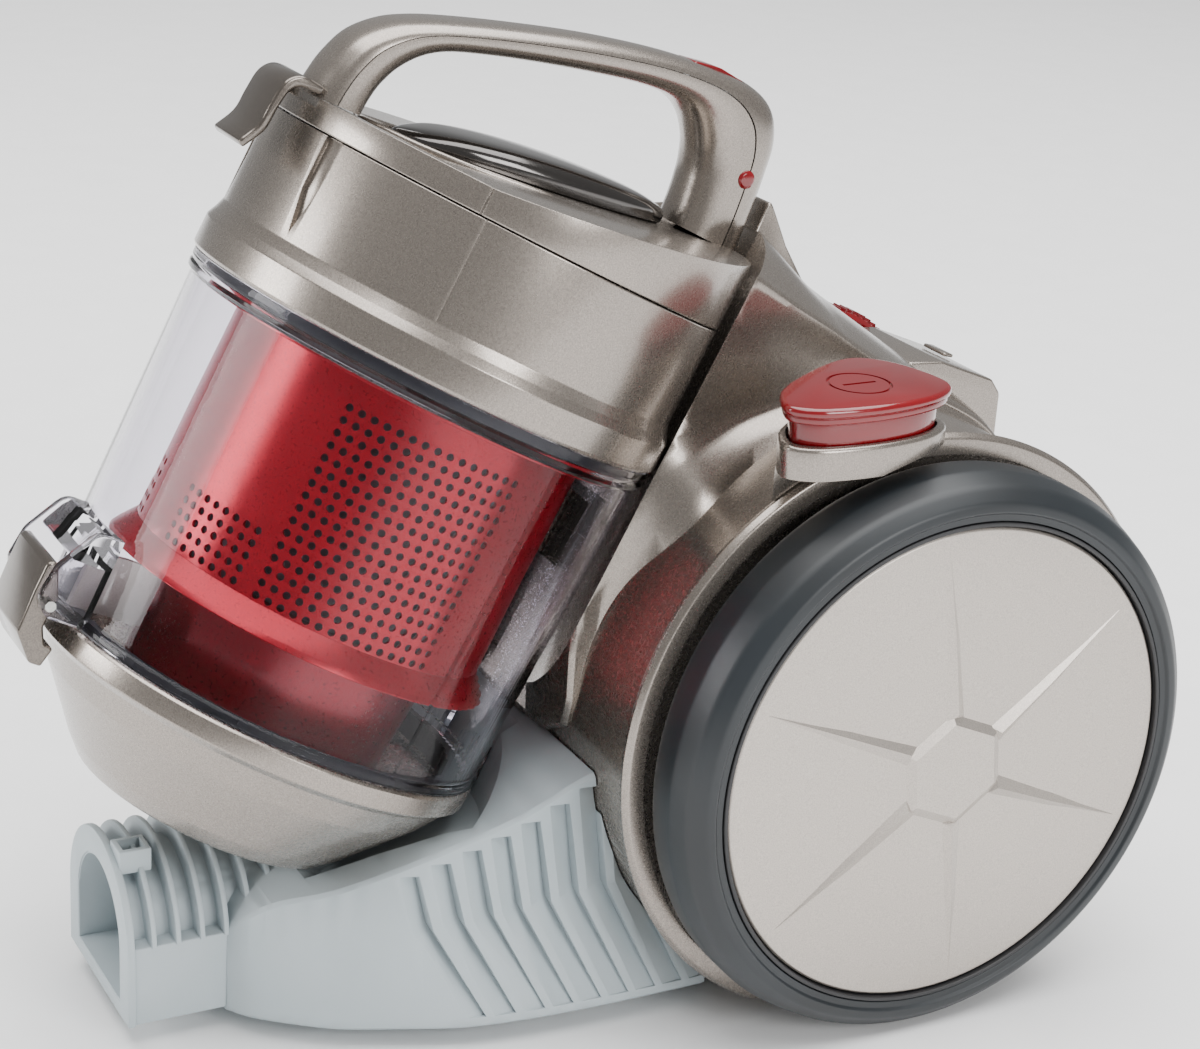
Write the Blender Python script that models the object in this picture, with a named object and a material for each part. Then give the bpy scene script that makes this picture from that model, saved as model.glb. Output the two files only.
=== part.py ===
"""Canister vacuum cleaner with a tilted cyclone bin, built from its separate pieces.

The frame: metres, +Z up, the front faces -Y and the right wheel is at +X.
The origin is on the floor, under the middle of the whole machine.
Pieces of the bin are modelled in the bin's own frame, whose Z runs up the tilted axis
from the seam between the clear bin and its bottom cap, and whose -Y is the bin's front.
"""

import math

import bmesh
import bpy
from mathutils import Vector

MM = 0.001

# Driving dimensions of the whole machine
AXLE_Y = 84.72 * MM
WHEEL_R = 97 * MM
GAP = 0.3 * MM  # between pieces that touch
STEPS = 24  # facets round a piece of the bin
WHEEL_STEPS = 28
SMALL_STEPS = 12
PIN_STEPS = 8

# Wheels
TYRE_W = 27 * MM
TYRE_WALL = 13 * MM  # from the tread in to the hub
DISC_INSET = 1.6 * MM
DISC_EDGE = 1.4 * MM  # dark gap between the tyre and the disc
DISC_T = 2.5 * MM
HEX_R = 20 * MM
HEX_RISE = 1.2 * MM
HEX_TURN = 37  # degrees of its first corner, from the rear towards the top
AXLE_R = 5 * MM
BORE_CLEARANCE = 0.08 * MM
HUB_W = 16 * MM

# Drum housing between the wheels
DRUM_R = 100 * MM
DRUM_HALF = 84 * MM
TRACK_OUTER = DRUM_HALF + 36 * MM  # middle of the machine to the outer face of a wheel disc
SHELL = 3.5 * MM
LIP_R = 103.5 * MM
LIP_T = 4.5 * MM
DRUM_ROOM = DRUM_R + 1.2 * MM  # what lies on the drum is cut to this
SIDE_T = 3 * MM
FLOOR_GAP = 6 * MM  # underside of the base above the floor

# Bin
BIN_TILT = math.radians(27.2)
BIN_FORWARD = 189.6 * MM  # axle to the seam's middle
BIN_SEAM_Z = 108 * MM
BIN_R0 = 75 * MM  # outer radius at the lower seam
BIN_R1 = 78.3 * MM  # outer radius at the upper seam
BIN_H = 117 * MM
BIN_WALL = 2.5 * MM
CAP_LIP_R = 76 * MM
CAP_DEPTH = 45.5 * MM
CAP_FLOOR_R = 42 * MM
CAP_WALL = 2.5 * MM
COLLAR_FLARE_R = 81 * MM
COLLAR_R = 78.5 * MM
COLLAR_TOP = 167 * MM
LID_EDGE = 175 * MM
LID_CROWN = 178 * MM
SHROUD_R = 60 * MM
SHROUD_LOW = 34 * MM
SKIRT_R = 66 * MM
SKIRT_LOW = 25.5 * MM
CUP_R = 48 * MM
CRADLE_R = 92 * MM  # outside of the wall behind the bin
BIN_ROOM = 1.5 * MM  # between the bin's widest ring and the body
LUG_HALF = 15 * MM
LATCH_PIN = (86.5 * MM, 5 * MM)  # forward of the bin's axis, above the seam
CAP_HINGE = (78.5 * MM, -3.6 * MM)  # behind the bin's axis, above the seam
PIN_R = 1.8 * MM
PIN_BORE = (PIN_R + BORE_CLEARANCE) / math.cos(math.pi / PIN_STEPS)  # clears the pin's corners as it turns

# Handle
HANDLE_HALF = 12.5 * MM
HANDLE_SPLIT = 0.25  # height of the shell seam in a section that runs from -1 to 1

# Pedals
PEDAL_X = 84 * MM
PEDAL_FORWARD = 26 * MM
PEDAL_R = 27 * MM
PEDAL_TOP = 219.5 * MM
PEDAL_PLATE = 5 * MM
PEDAL_OVERHANG = 3.5 * MM
PEDAL_TRAVEL = 5 * MM
COLLAR_WALL = 3 * MM
PEDAL_COLLAR_TOP = 207 * MM

# Base
DUCT_FRONT = 245 * MM  # forward of the axle
DUCT_R = 32 * MM
DUCT_Z = 32 * MM
RIB_DEPTH = 5 * MM
RIB_PITCH = 6.4 * MM
RIB_T = 2.2 * MM
RIB_COUNT = 9
SOCKET_R = 22.5 * MM
BASE_WALL = 3 * MM

AXLE = Vector((0, AXLE_Y, WHEEL_R))
BIN_ORIGIN = Vector((0, AXLE_Y - BIN_FORWARD, BIN_SEAM_Z))

BRONZE = ("bronze_paint", (0.30, 0.265, 0.235), 0.32, 0.75)
BRONZE_DARK = ("bronze_dark", (0.20, 0.18, 0.165), 0.3, 0.7)
BASE_GREY = ("base_grey", (0.42, 0.50, 0.53), 0.6, 0.0)
RUBBER = ("tyre_rubber", (0.055, 0.07, 0.08), 0.75, 0.0)
SILVER = ("disc_silver", (0.52, 0.48, 0.43), 0.35, 0.7)
CLEAR = ("clear_plastic", (0.86, 0.85, 0.90), 0.05, 0.0)
RED = ("red_metallic", (0.50, 0.01, 0.03), 0.25, 0.5)
RED_GLOSS = ("red_gloss", (0.45, 0.01, 0.02), 0.12, 0.0)
RED_DARK = ("red_dark", (0.18, 0.005, 0.015), 0.25, 0.3)
SEAL = ("seal_black", (0.02, 0.022, 0.03), 0.8, 0.0)
STEEL = ("steel", (0.60, 0.60, 0.58), 0.3, 1.0)
FOAM = ("filter_foam", (0.10, 0.11, 0.12), 0.95, 0.0)
INNER = ("inner_plastic", (0.08, 0.08, 0.085), 0.6, 0.0)
COPPER = ("winding_copper", (0.45, 0.2, 0.08), 0.35, 1.0)


def clear_scene():
    for obj in list(bpy.data.objects):
        bpy.data.objects.remove(obj, do_unlink=True)


def material(finish):
    name, colour, roughness, metallic = finish
    found = bpy.data.materials.get(name)
    if found:
        return found
    made = bpy.data.materials.new(name)
    made.use_nodes = True
    shader = made.node_tree.nodes["Principled BSDF"]
    shader.inputs["Base Color"].default_value = (*colour, 1)
    shader.inputs["Roughness"].default_value = roughness
    shader.inputs["Metallic"].default_value = metallic
    return made


def empty(name, place, turn=(0, 0, 0)):
    made = bpy.data.objects.new(name, None)
    bpy.context.scene.collection.objects.link(made)
    made.location = place
    made.rotation_euler = turn
    return made


def finish_mesh(name, bm, finish, parent=None, origin=(0, 0, 0)):
    """Makes the object, with its origin at the given point of its parent's frame."""
    bmesh.ops.recalc_face_normals(bm, faces=bm.faces)
    bmesh.ops.translate(bm, verts=bm.verts, vec=-Vector(origin))
    mesh = bpy.data.meshes.new(name)
    bm.to_mesh(mesh)
    bm.free()
    mesh.shade_smooth()
    mesh.set_sharp_from_angle(angle=math.radians(35))
    obj = bpy.data.objects.new(name, mesh)
    bpy.context.scene.collection.objects.link(obj)
    obj.parent = parent
    obj.location = origin
    if finish:
        mesh.materials.append(material(finish))
    return obj


def turned(name, profile, finish, parent=None, steps=STEPS, origin=(0, 0, 0), across=False):
    """Turns a closed (radius, height) outline about Z, or about X where across is set."""
    bm = bmesh.new()
    verts = [bm.verts.new((r, 0, z)) for r, z in profile]
    edges = [bm.edges.new((verts[i], verts[(i + 1) % len(verts)])) for i in range(len(verts))]
    bmesh.ops.spin(bm, geom=verts + edges, cent=(0, 0, 0), axis=(0, 0, 1),
                   angle=math.tau, steps=steps, use_merge=True)
    bmesh.ops.remove_doubles(bm, verts=bm.verts, dist=1e-6)
    on_axis = [e for e in bm.edges if not e.link_faces]
    bmesh.ops.delete(bm, geom=on_axis, context="EDGES")
    if across:
        for v in bm.verts:
            v.co = Vector((v.co.z, v.co.x, v.co.y))
    bmesh.ops.translate(bm, verts=bm.verts, vec=Vector(origin))
    return finish_mesh(name, bm, finish, parent, origin)


def prism(name, outline, low, high, finish, parent=None, along="X", origin=(0, 0, 0), bevel=0):
    """Extrudes a closed outline: (y, z) along X, or (x, y) along Z."""
    bm = bmesh.new()
    if along == "X":
        verts = [bm.verts.new((low, a, b)) for a, b in outline]
    else:
        verts = [bm.verts.new((a, b, low)) for a, b in outline]
    face = bm.faces.new(verts)
    made = bmesh.ops.extrude_face_region(bm, geom=[face])
    moved = [v for v in made["geom"] if isinstance(v, bmesh.types.BMVert)]
    shift = (high - low, 0, 0) if along == "X" else (0, 0, high - low)
    bmesh.ops.translate(bm, verts=moved, vec=shift)
    obj = finish_mesh(name, bm, finish, parent, origin)
    if bevel:
        add_bevel(obj, bevel)
    return obj


def block(name, low, high, finish, parent=None, origin=(0, 0, 0), bevel=0):
    outline = [(low[1], low[2]), (high[1], low[2]), (high[1], high[2]), (low[1], high[2])]
    return prism(name, outline, low[0], high[0], finish, parent, "X", origin, bevel)


def loft(name, rings, finish, parent=None, origin=(0, 0, 0)):
    """Bridges rings of equal counts and closes both ends."""
    bm = bmesh.new()
    loops = [[bm.verts.new(p) for p in ring] for ring in rings]
    for first, second in zip(loops, loops[1:]):
        for i in range(len(first)):
            j = (i + 1) % len(first)
            bm.faces.new((first[i], first[j], second[j], second[i]))
    bm.faces.new(loops[0])
    bm.faces.new(list(reversed(loops[-1])))
    return finish_mesh(name, bm, finish, parent, origin)


def add_bevel(obj, width, segments=1):
    bevel = obj.modifiers.new("rounded_edges", "BEVEL")
    bevel.width = width
    bevel.segments = segments
    bevel.limit_method = "ANGLE"
    bevel.angle_limit = math.radians(40)


def helper(obj):
    obj.hide_render = True
    obj.display_type = "WIRE"
    return obj


def boolean(obj, other, operation):
    modifier = obj.modifiers.new(operation.lower() + "_" + other.name, "BOOLEAN")
    modifier.operation = operation
    modifier.object = helper(other)
    modifier.solver = "EXACT"
    return obj


def cut(obj, other):
    return boolean(obj, other, "DIFFERENCE")


def join(obj, other):
    return boolean(obj, other, "UNION")


def arc(centre, radius, start, end, count):
    """Points on a circle in the Y-Z plane; angles in degrees from +Y towards +Z."""
    return [
        (centre[0] + radius * math.cos(math.radians(a)), centre[1] + radius * math.sin(math.radians(a)))
        for a in (start + (end - start) * i / (count - 1) for i in range(count))
    ]


def make_wheel(side, label, parent):
    """side is 1 for the right wheel and -1 for the left."""
    outer = TRACK_OUTER - 2 * MM
    inner = outer - TYRE_W
    hub_r = WHEEL_R - TYRE_WALL
    edge = 6 * MM

    def flipped(profile):
        return [(r, side * x) for r, x in profile]

    tyre = [
        (hub_r, inner), (WHEEL_R - 3 * MM, inner), (WHEEL_R, inner + 3 * MM),
        (WHEEL_R, outer - edge * 1.6), (WHEEL_R - 2 * MM, outer - edge * 0.7),
        (WHEEL_R - edge, outer), (hub_r, outer),
    ]
    turned("tyre_" + label, flipped(tyre), RUBBER, parent, WHEEL_STEPS, across=True)
    hub_low = outer - HUB_W
    hub_out = hub_r - GAP
    face = outer - DISC_INSET - DISC_T
    bore = AXLE_R + BORE_CLEARANCE
    hub = [
        (bore, hub_low), (bore + 7 * MM, hub_low), (bore + 7 * MM, face - 5 * MM),
        (hub_out - 4 * MM, face - 5 * MM), (hub_out - 4 * MM, hub_low), (hub_out, hub_low),
        (hub_out, outer - 0.5 * MM), (hub_out - DISC_EDGE, outer - 0.5 * MM),
        (hub_out - DISC_EDGE, face - GAP), (bore, face - GAP),
    ]
    turned("wheel_hub_" + label, flipped(hub), INNER, parent, WHEEL_STEPS, across=True)
    disc_r = hub_out - DISC_EDGE - GAP
    crown = outer + 2 * MM - HEX_RISE
    disc = [(0, face), (disc_r, face), (disc_r, face + DISC_T), (disc_r * 0.5, crown - 0.8 * MM),
        (0, crown)]
    plate = turned("hub_disc_" + label, flipped(disc), SILVER, parent, WHEEL_STEPS, across=True)
    hexagon = [
        (HEX_R * math.cos(math.radians(60 * i + HEX_TURN)),
        HEX_R * math.sin(math.radians(60 * i + HEX_TURN)))
        for i in range(6)
    ]
    low, high = sorted((side * (face + 0.5 * MM), side * (crown + HEX_RISE)))
    boss = prism("hexagon_" + label, hexagon, low, high, None, parent)
    join(plate, boss)


def make_axles():
    for side, label in ((1, "right"), (-1, "left")):
        tip = TRACK_OUTER - 2 * MM - DISC_INSET - DISC_T - 2 * GAP
        root = DRUM_HALF - 40 * MM
        flange = DRUM_HALF - GAP
        profile = [
            (0, root), (AXLE_R + 5 * MM, root), (AXLE_R + 5 * MM, flange), (AXLE_R, flange),
            (AXLE_R, tip), (0, tip),
        ]
        turned("axle_" + label, [(r, side * x) for r, x in profile], STEEL, wheel_frame, SMALL_STEPS,
            across=True)


# --- drum housing and base ----------------------------------------------------


def bin_clearance(name, room, low=-CAP_DEPTH, parent=None):
    """The space that the bin sweeps as it is lifted along its own axis, with some room round it."""
    wide = COLLAR_FLARE_R + room
    profile = [
        (0, low - room), (CAP_FLOOR_R + 0.6 * room, low - room),
        (CAP_FLOOR_R + 15 * MM + room, low + 15 * MM), (CAP_LIP_R - 3 * MM + room, -15 * MM),
        (wide, -10 * MM),
        (wide, 330 * MM), (0, 330 * MM),
    ]
    return helper(turned(name, profile, None, parent or bin_frame, STEPS))


def lift_clearance(name):
    """What the bin sweeps, with the straight path of the handle's rear leg and the cap's hinge."""
    sweep = bin_clearance(name, BIN_ROOM)
    return join(sweep, block(name + "_hinge", (-17 * MM, 0, -10 * MM), (17 * MM, 88 * MM, 320 * MM), None,
        bin_frame))


def crest_ring(forward, base, waist, ridge, crown, shrink=0.0):
    """One cross-section of the crest: half-widths and heights of its base, waist and ridge, then the crown."""
    s = shrink
    half = [
        (base[0] - s, base[1]), (waist[0] - s, waist[1]), (ridge[0] - s, ridge[1] - s),
        (ridge[0] * 0.72 - s, (ridge[1] + 2 * crown) / 3 - s), (ridge[0] * 0.3, crown - 0.5 * MM - s),
    ]
    left = [(-x, z) for x, z in reversed(half)]
    return [Vector((x, AXLE_Y - forward, z)) for x, z in half + left]


CREST = (  # forward of the axle, then (half-width, height) of base, waist and ridge, and the crown
    (96, (66, 150), (63, 186), (60, 236), 262),
    (57, (65, 168), (60, 205), (56, 250), 268),
    (30, (60, 180), (52, 206), (48, 236), 256),
    (10, (56, 184), (48, 203), (43, 222), 236),
    (-2, (55, 184), (46, 200), (40, 215), 227),
    (-32, (52, 176), (42, 187), (36, 195), 208),
    (-65, (46, 152), (38, 167), (31, 176), 184),
    (-80, (40, 140), (34, 148), (28, 156), 164),
)


def crest(name, finish, shrink=0.0, drop=0.0):
    rings = []
    for forward, base, waist, ridge, crown in CREST:
        pairs = [(w * MM, h * MM - drop) for w, h in (base, waist, ridge)]
        rings.append(crest_ring(forward * MM, *pairs, crown * MM - drop, shrink))
    return loft(name, rings, finish)


def drum_sector(name, start, end, finish, count, half=DRUM_HALF, origin=(0, 0, 0)):
    centre = (AXLE.y, AXLE.z)
    outline = arc(centre, DRUM_R, start, end, count) + arc(centre, DRUM_R - SHELL, end, start, count)
    return prism(name, outline, -half, half, finish, None, "X", origin)


def drum_space(name, radius, half):
    profile = [(0, -half), (radius, -half), (radius, half), (0, half)]
    return helper(turned(name, profile, None, wheel_frame, WHEEL_STEPS, across=True))


GRILLE_LOW, GRILLE_HIGH = -24, 22  # degrees above the rear horizontal
FRONT_JOINT = 200  # where the upper and lower housings meet at the front
POST = ((-22, 36, 140), (22, 76, 200))  # half-width, behind the axle, height


def make_upper_housing():
    shell = drum_sector("upper_housing", GRILLE_HIGH + 0.3, FRONT_JOINT, BRONZE, 20)
    join(shell, crest("crest_form", None))
    cut(shell, crest("crest_hollow", None, 4 * MM, 4 * MM))
    cut(shell, drum_space("drum_bore", DRUM_R - SHELL, DRUM_HALF + 5 * MM))
    cradle = turned("cradle_form", [(0, -20 * MM), (CRADLE_R, -20 * MM), (CRADLE_R, 150 * MM),
        (0, 150 * MM)], None, bin_frame)
    boolean(cradle, drum_space("cradle_limit", DRUM_R - 1 * MM, DRUM_HALF - 1 * MM), "INTERSECT")
    join(shell, cradle)
    cut(shell, lift_clearance("bin_sweep"))
    low, high = POST
    post = block("post_room", (low[0] * MM - GAP, AXLE_Y + low[1] * MM - GAP, low[2] * MM),
                 (high[0] * MM + GAP, AXLE_Y + high[1] * MM + 40 * MM, 260 * MM), None)
    cut(shell, post)
    cut(shell, block("inlet_hole", (-15 * MM, 60 * MM, 70 * MM), (15 * MM, 110 * MM, 98 * MM), None,
        bin_frame))
    cut(shell, dial_room("dial_room", 1.2 * MM))
    return shell


DIAL_AT = (31.5, 173.5)  # behind the axle, height
DIAL_R = 34 * MM
DIAL_X = (-35 * MM, -24 * MM)


def dial_frame():
    return (0, AXLE_Y + DIAL_AT[0] * MM, DIAL_AT[1] * MM)


def dial_room(name, room):
    r = DIAL_R + room
    profile = [(0, DIAL_X[0] - room), (r, DIAL_X[0] - room), (r, DIAL_X[1] + room), (0, DIAL_X[1] + room)]
    obj = turned(name, profile, None, None, WHEEL_STEPS, across=True)
    obj.location = dial_frame()
    return helper(obj)


def make_dial():
    """Suction dial: a ribbed thumbwheel that stands out of the crest's left side."""
    bm_profile = [
        (3.1 * MM, DIAL_X[0]), (DIAL_R - 2 * MM, DIAL_X[0]), (DIAL_R, DIAL_X[0] + 2 * MM),
        (DIAL_R, DIAL_X[1] - 2 * MM), (DIAL_R - 2 * MM, DIAL_X[1]), (3.1 * MM, DIAL_X[1]),
    ]
    dial = turned("power_dial", bm_profile, RED_GLOSS, None, WHEEL_STEPS, across=True)
    dial.location = dial_frame()
    pin = [(0, DIAL_X[0] - 6 * MM), (3 * MM, DIAL_X[0] - 6 * MM), (3 * MM, DIAL_X[1] + 6 * MM),
        (0, DIAL_X[1] + 6 * MM)]
    spindle = turned("dial_spindle", pin, STEEL, None, SMALL_STEPS, across=True)
    spindle.location = dial_frame()


def make_lower_housing():
    """The rear base: a flat-bottomed tub under the drum, from the front joint round to the grille."""
    centre = (AXLE.y, AXLE.z)
    low = FLOOR_GAP + 1 * MM
    dip = math.degrees(math.asin((AXLE.z - low) / DRUM_R))
    inner_r = DRUM_R - SHELL
    inner_low = low + SHELL
    inner_dip = math.degrees(math.asin((AXLE.z - inner_low) / inner_r))
    outline = arc(centre, DRUM_R, FRONT_JOINT + 0.3, 180 + dip, 7)
    outline += arc(centre, DRUM_R, 360 - dip, 360 + GRILLE_LOW - 0.8, 7)
    outline += arc(centre, inner_r, 360 + GRILLE_LOW - 0.8, 360 - inner_dip, 7)
    outline += arc(centre, inner_r, 180 + inner_dip, FRONT_JOINT + 0.3, 7)
    tub = prism("lower_housing", outline, -DRUM_HALF, DRUM_HALF, BASE_GREY)
    passage = block("tub_passage", (-17 * MM, AXLE_Y - 105 * MM, 12 * MM),
        (17 * MM, AXLE_Y - 60 * MM, 38 * MM), None)
    cut(tub, passage)


def make_side_walls():
    for side, label in ((1, "right"), (-1, "left")):
        inner = DRUM_HALF + GAP
        wall = inner + SIDE_T
        lip = inner + LIP_T
        profile = [
            (AXLE_R + BORE_CLEARANCE, inner), (LIP_R - 3 * MM, inner), (LIP_R, inner + 1.5 * MM),
            (LIP_R - 0.4 * MM, inner + 3 * MM),
            (DRUM_R - 1 * MM, lip), (DRUM_R - 5 * MM, lip), (DRUM_R - 6 * MM, wall),
            (AXLE_R + BORE_CLEARANCE, wall),
        ]
        panel = turned("side_wall_" + label, [(r, side * x) for r, x in profile], BRONZE, wheel_frame,
            WHEEL_STEPS, across=True)
        ground = block("ground_" + label, (-200 * MM, -200 * MM, -60 * MM),
            (200 * MM, 300 * MM, FLOOR_GAP + 1 * MM), None)
        cut(panel, ground)


def make_grille():
    """Exhaust grille: a slotted panel of the drum that swings down about its lower edge."""
    hinge = arc((AXLE.y, AXLE.z), DRUM_R - SHELL / 2, GRILLE_LOW + 2, GRILLE_LOW + 3, 2)[0]
    panel = drum_sector("exhaust_grille", GRILLE_LOW, GRILLE_HIGH, BRONZE_DARK, 9, DRUM_HALF - GAP,
        (0, *hinge))
    for i in range(9):
        x = (i - 4) * 12.5 * MM
        slot = block("grille_slot_%d" % i, (x - 3 * MM, AXLE_Y + 70 * MM, AXLE.z - 22 * MM),
                     (x + 3 * MM, AXLE_Y + 120 * MM, AXLE.z + 24 * MM), None)
        cut(panel, slot)
    frame_low = AXLE.z - 34 * MM
    block("exhaust_filter", (-58 * MM, AXLE_Y + 75 * MM, frame_low),
        (58 * MM, AXLE_Y + 89.6 * MM, AXLE.z + 32 * MM), FOAM)


def make_post():
    """Rear post with the cord outlet: the bush is the gland that the cord leaves through."""
    low, high = POST
    rear = AXLE_Y + high[1] * MM
    front = AXLE_Y + low[1] * MM
    outline = [
        (front, low[2] * MM), (rear, low[2] * MM), (rear, high[2] * MM - 14 * MM),
        (rear - 4 * MM, high[2] * MM - 9 * MM), (front + 14 * MM, high[2] * MM),
        (front, high[2] * MM + 1 * MM),
    ]
    post = prism("cord_outlet_housing", outline, low[0] * MM, high[0] * MM, BRONZE, bevel=1.5 * MM)
    cut(post, drum_space("post_seat", DRUM_ROOM, DRUM_HALF))
    mouth_z = high[2] * MM - 25 * MM
    profile = [(0, -30 * MM), (8 * MM, -30 * MM), (8 * MM, 30 * MM), (0, 30 * MM)]
    mouth = turned("outlet_mouth", profile, None, None, SMALL_STEPS)
    mouth.location = (0, rear, mouth_z)
    mouth.rotation_euler = (math.pi / 2, 0, 0)
    cut(post, mouth)
    ring = [(3.8 * MM, -9 * MM), (7.7 * MM, -9 * MM), (7.7 * MM, 0), (9.5 * MM, 0.4 * MM),
        (9.5 * MM, 2 * MM), (4.4 * MM, 2 * MM)]
    bush = turned("cord_outlet_bush", ring, SEAL, None, SMALL_STEPS)
    bush.location = (0, rear, mouth_z)
    bush.rotation_euler = (-math.pi / 2, 0, 0)


def rounded_triangle(centre, radius, side, corner=10 * MM):
    """Plan outline of a pedal, with one corner pointing at the front outer side."""
    points = []
    for k in range(3):
        towards = math.radians(-75 + 120 * k)
        cx = math.cos(towards) * (radius - corner)
        cy = math.sin(towards) * (radius - corner)
        for i in range(5):
            a = towards + math.radians(-60 + 30 * i)
            points.append((centre[0] + side * (cx + corner * math.cos(a)),
                centre[1] + cy + corner * math.sin(a)))
    return points


def drum_and_tyre_room(name, side):
    inner = DRUM_HALF
    profile = [
        (0, 20 * MM), (DRUM_ROOM, 20 * MM), (DRUM_ROOM, inner - GAP), (LIP_R + 1 * MM, inner - GAP),
        (LIP_R + 1 * MM, 140 * MM), (0, 140 * MM),
    ]
    return helper(turned(name, [(r, side * x) for r, x in profile], None, wheel_frame, WHEEL_STEPS,
        across=True))


def make_pedal(side, label, collar_label):
    centre = (side * PEDAL_X, AXLE_Y - PEDAL_FORWARD)
    origin = (centre[0], centre[1], PEDAL_TOP)
    plate = prism(label, rounded_triangle(centre, PEDAL_R + PEDAL_OVERHANG, side), PEDAL_TOP - PEDAL_PLATE,
                  PEDAL_TOP, RED_GLOSS, along="Z", origin=origin, bevel=1.6 * MM)
    stem = prism(label + "_stem", rounded_triangle(centre, PEDAL_R - 1 * MM, side),
        PEDAL_COLLAR_TOP - 1 * MM,
                 PEDAL_TOP - 2 * MM, None, along="Z")
    join(plate, stem)
    collar = prism(collar_label, rounded_triangle(centre, PEDAL_R + COLLAR_WALL, side), 170 * MM,
                   PEDAL_COLLAR_TOP, BRONZE, along="Z", bevel=1 * MM)
    cut(collar, prism(label + "_well", rounded_triangle(centre, PEDAL_R - 0.6 * MM, side),
                      PEDAL_COLLAR_TOP - PEDAL_TRAVEL - 1.4 * MM, PEDAL_TOP + 20 * MM, None, along="Z"))
    cut(collar, drum_and_tyre_room(label + "_seat", side))
    cut(collar, crest(label + "_crest_room", None, -GAP, -GAP))


BASE = (  # forward of the axle, half-width at the floor, half-width and height at the top
    (214, 24, 22, 30), (196, 43, 38, 52), (166, 60, 54, 68), (132, 70, 60, 84),
    (94, 73, 61, 100), (70, 73, 63, 104), (40, 73, 64, 104),
)


def base_form(name, finish, wall=0.0):
    rings = []
    for forward, foot, top, height in BASE:
        y = AXLE_Y - forward * MM + (wall if forward > 200 else 0)
        low = FLOOR_GAP - (20 * MM if wall else 0)
        foot_w = foot * MM - wall
        top_w = top * MM - wall
        z = height * MM - wall
        half = [(foot_w, low), (foot_w, FLOOR_GAP + 6 * MM), (top_w + 1.5 * MM, z - 4 * MM),
            (top_w - 2 * MM, z)]
        rings.append([Vector((x, y, h)) for x, h in half + [(-x, h) for x, h in reversed(half)]])
    return loft(name, rings, finish)


def arch_ring(y, radius, foot):
    """An arch section: a half circle on straight legs."""
    points = [(radius, foot)]
    points += [(radius * math.cos(math.radians(a)),
        DUCT_Z + radius * math.sin(math.radians(a))) for a in range(0, 181, 20)]
    points += [(-radius, foot)]
    return [Vector((x, y, z)) for x, z in points]


def duct_form(name):
    """The front duct with its arched ribs, as one lofted bar."""
    front = AXLE_Y - DUCT_FRONT
    foot = FLOOR_GAP + 3 * MM
    core = DUCT_R - RIB_DEPTH
    rings = [arch_ring(front, DUCT_R, foot), arch_ring(front + 3 * MM, DUCT_R, foot)]
    for i in range(RIB_COUNT):
        y = front + 3 * MM + RIB_PITCH * i
        rings.append(arch_ring(y + 0.1 * MM, core, foot))
        rings.append(arch_ring(y + RIB_PITCH - RIB_T, core, foot))
        rings.append(arch_ring(y + RIB_PITCH - RIB_T + 0.1 * MM, DUCT_R, foot))
        rings.append(arch_ring(y + RIB_PITCH, DUCT_R, foot))
    rings.append(arch_ring(front + 3 * MM + RIB_PITCH * RIB_COUNT + 6 * MM, core, foot))
    return loft(name, rings, None)


def make_base():
    base = base_form("chassis_base", BASE_GREY)
    join(base, duct_form("duct_form"))
    hollow = base_form("base_hollow", None, BASE_WALL)
    cut(hollow, bin_clearance("hollow_bin_wall", BIN_ROOM + 2.5 * MM))
    cut(hollow, drum_space("hollow_drum_wall", DRUM_ROOM + BASE_WALL, DRUM_HALF))
    helper(hollow)
    cut(base, hollow)
    cut(base, lift_clearance("base_bin_room"))
    cut(base, drum_space("base_drum_room", DRUM_ROOM, DRUM_HALF + 20 * MM))
    bore = [(0, -10 * MM), (SOCKET_R, -10 * MM), (SOCKET_R, 46 * MM), (0, 46 * MM)]
    mouth = turned("socket_bore", bore, None, None, SMALL_STEPS)
    mouth.location = (0, AXLE_Y - DUCT_FRONT, DUCT_Z)
    mouth.rotation_euler = (-math.pi / 2, 0, 0)
    cut(base, mouth)


def make_bottom_plate():
    """Closes the base from below; the caster turns in its round recess."""
    outline = []
    for forward, foot, _, _ in BASE[1:]:
        outline.append((foot * MM - BASE_WALL - 1.0 * MM, AXLE_Y - forward * MM))
    outline[-1] = (outline[-1][0], AXLE_Y - 48 * MM)
    plate = prism("bottom_plate", outline + [(-x, y) for x, y in reversed(outline)], FLOOR_GAP,
        FLOOR_GAP + 3 * MM,
                  BASE_GREY, along="Z")
    cut(plate, drum_space("plate_drum_room", DRUM_ROOM + BASE_WALL + 1 * MM, DRUM_HALF))
    well = turned("caster_well", [(0, -20 * MM), (CASTER_WELL_R, -20 * MM), (CASTER_WELL_R, 20 * MM),
        (0, 20 * MM)], None, None, SMALL_STEPS)
    well.location = (0, caster_y(), FLOOR_GAP)
    cut(plate, well)


CASTER_FORWARD = 160 * MM
CASTER_WELL_R = 25 * MM
CASTER_R = 10 * MM
CASTER_TRAIL = 7 * MM
CASTER_DECK = 22.5 * MM


def caster_y():
    return AXLE_Y - CASTER_FORWARD


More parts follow.
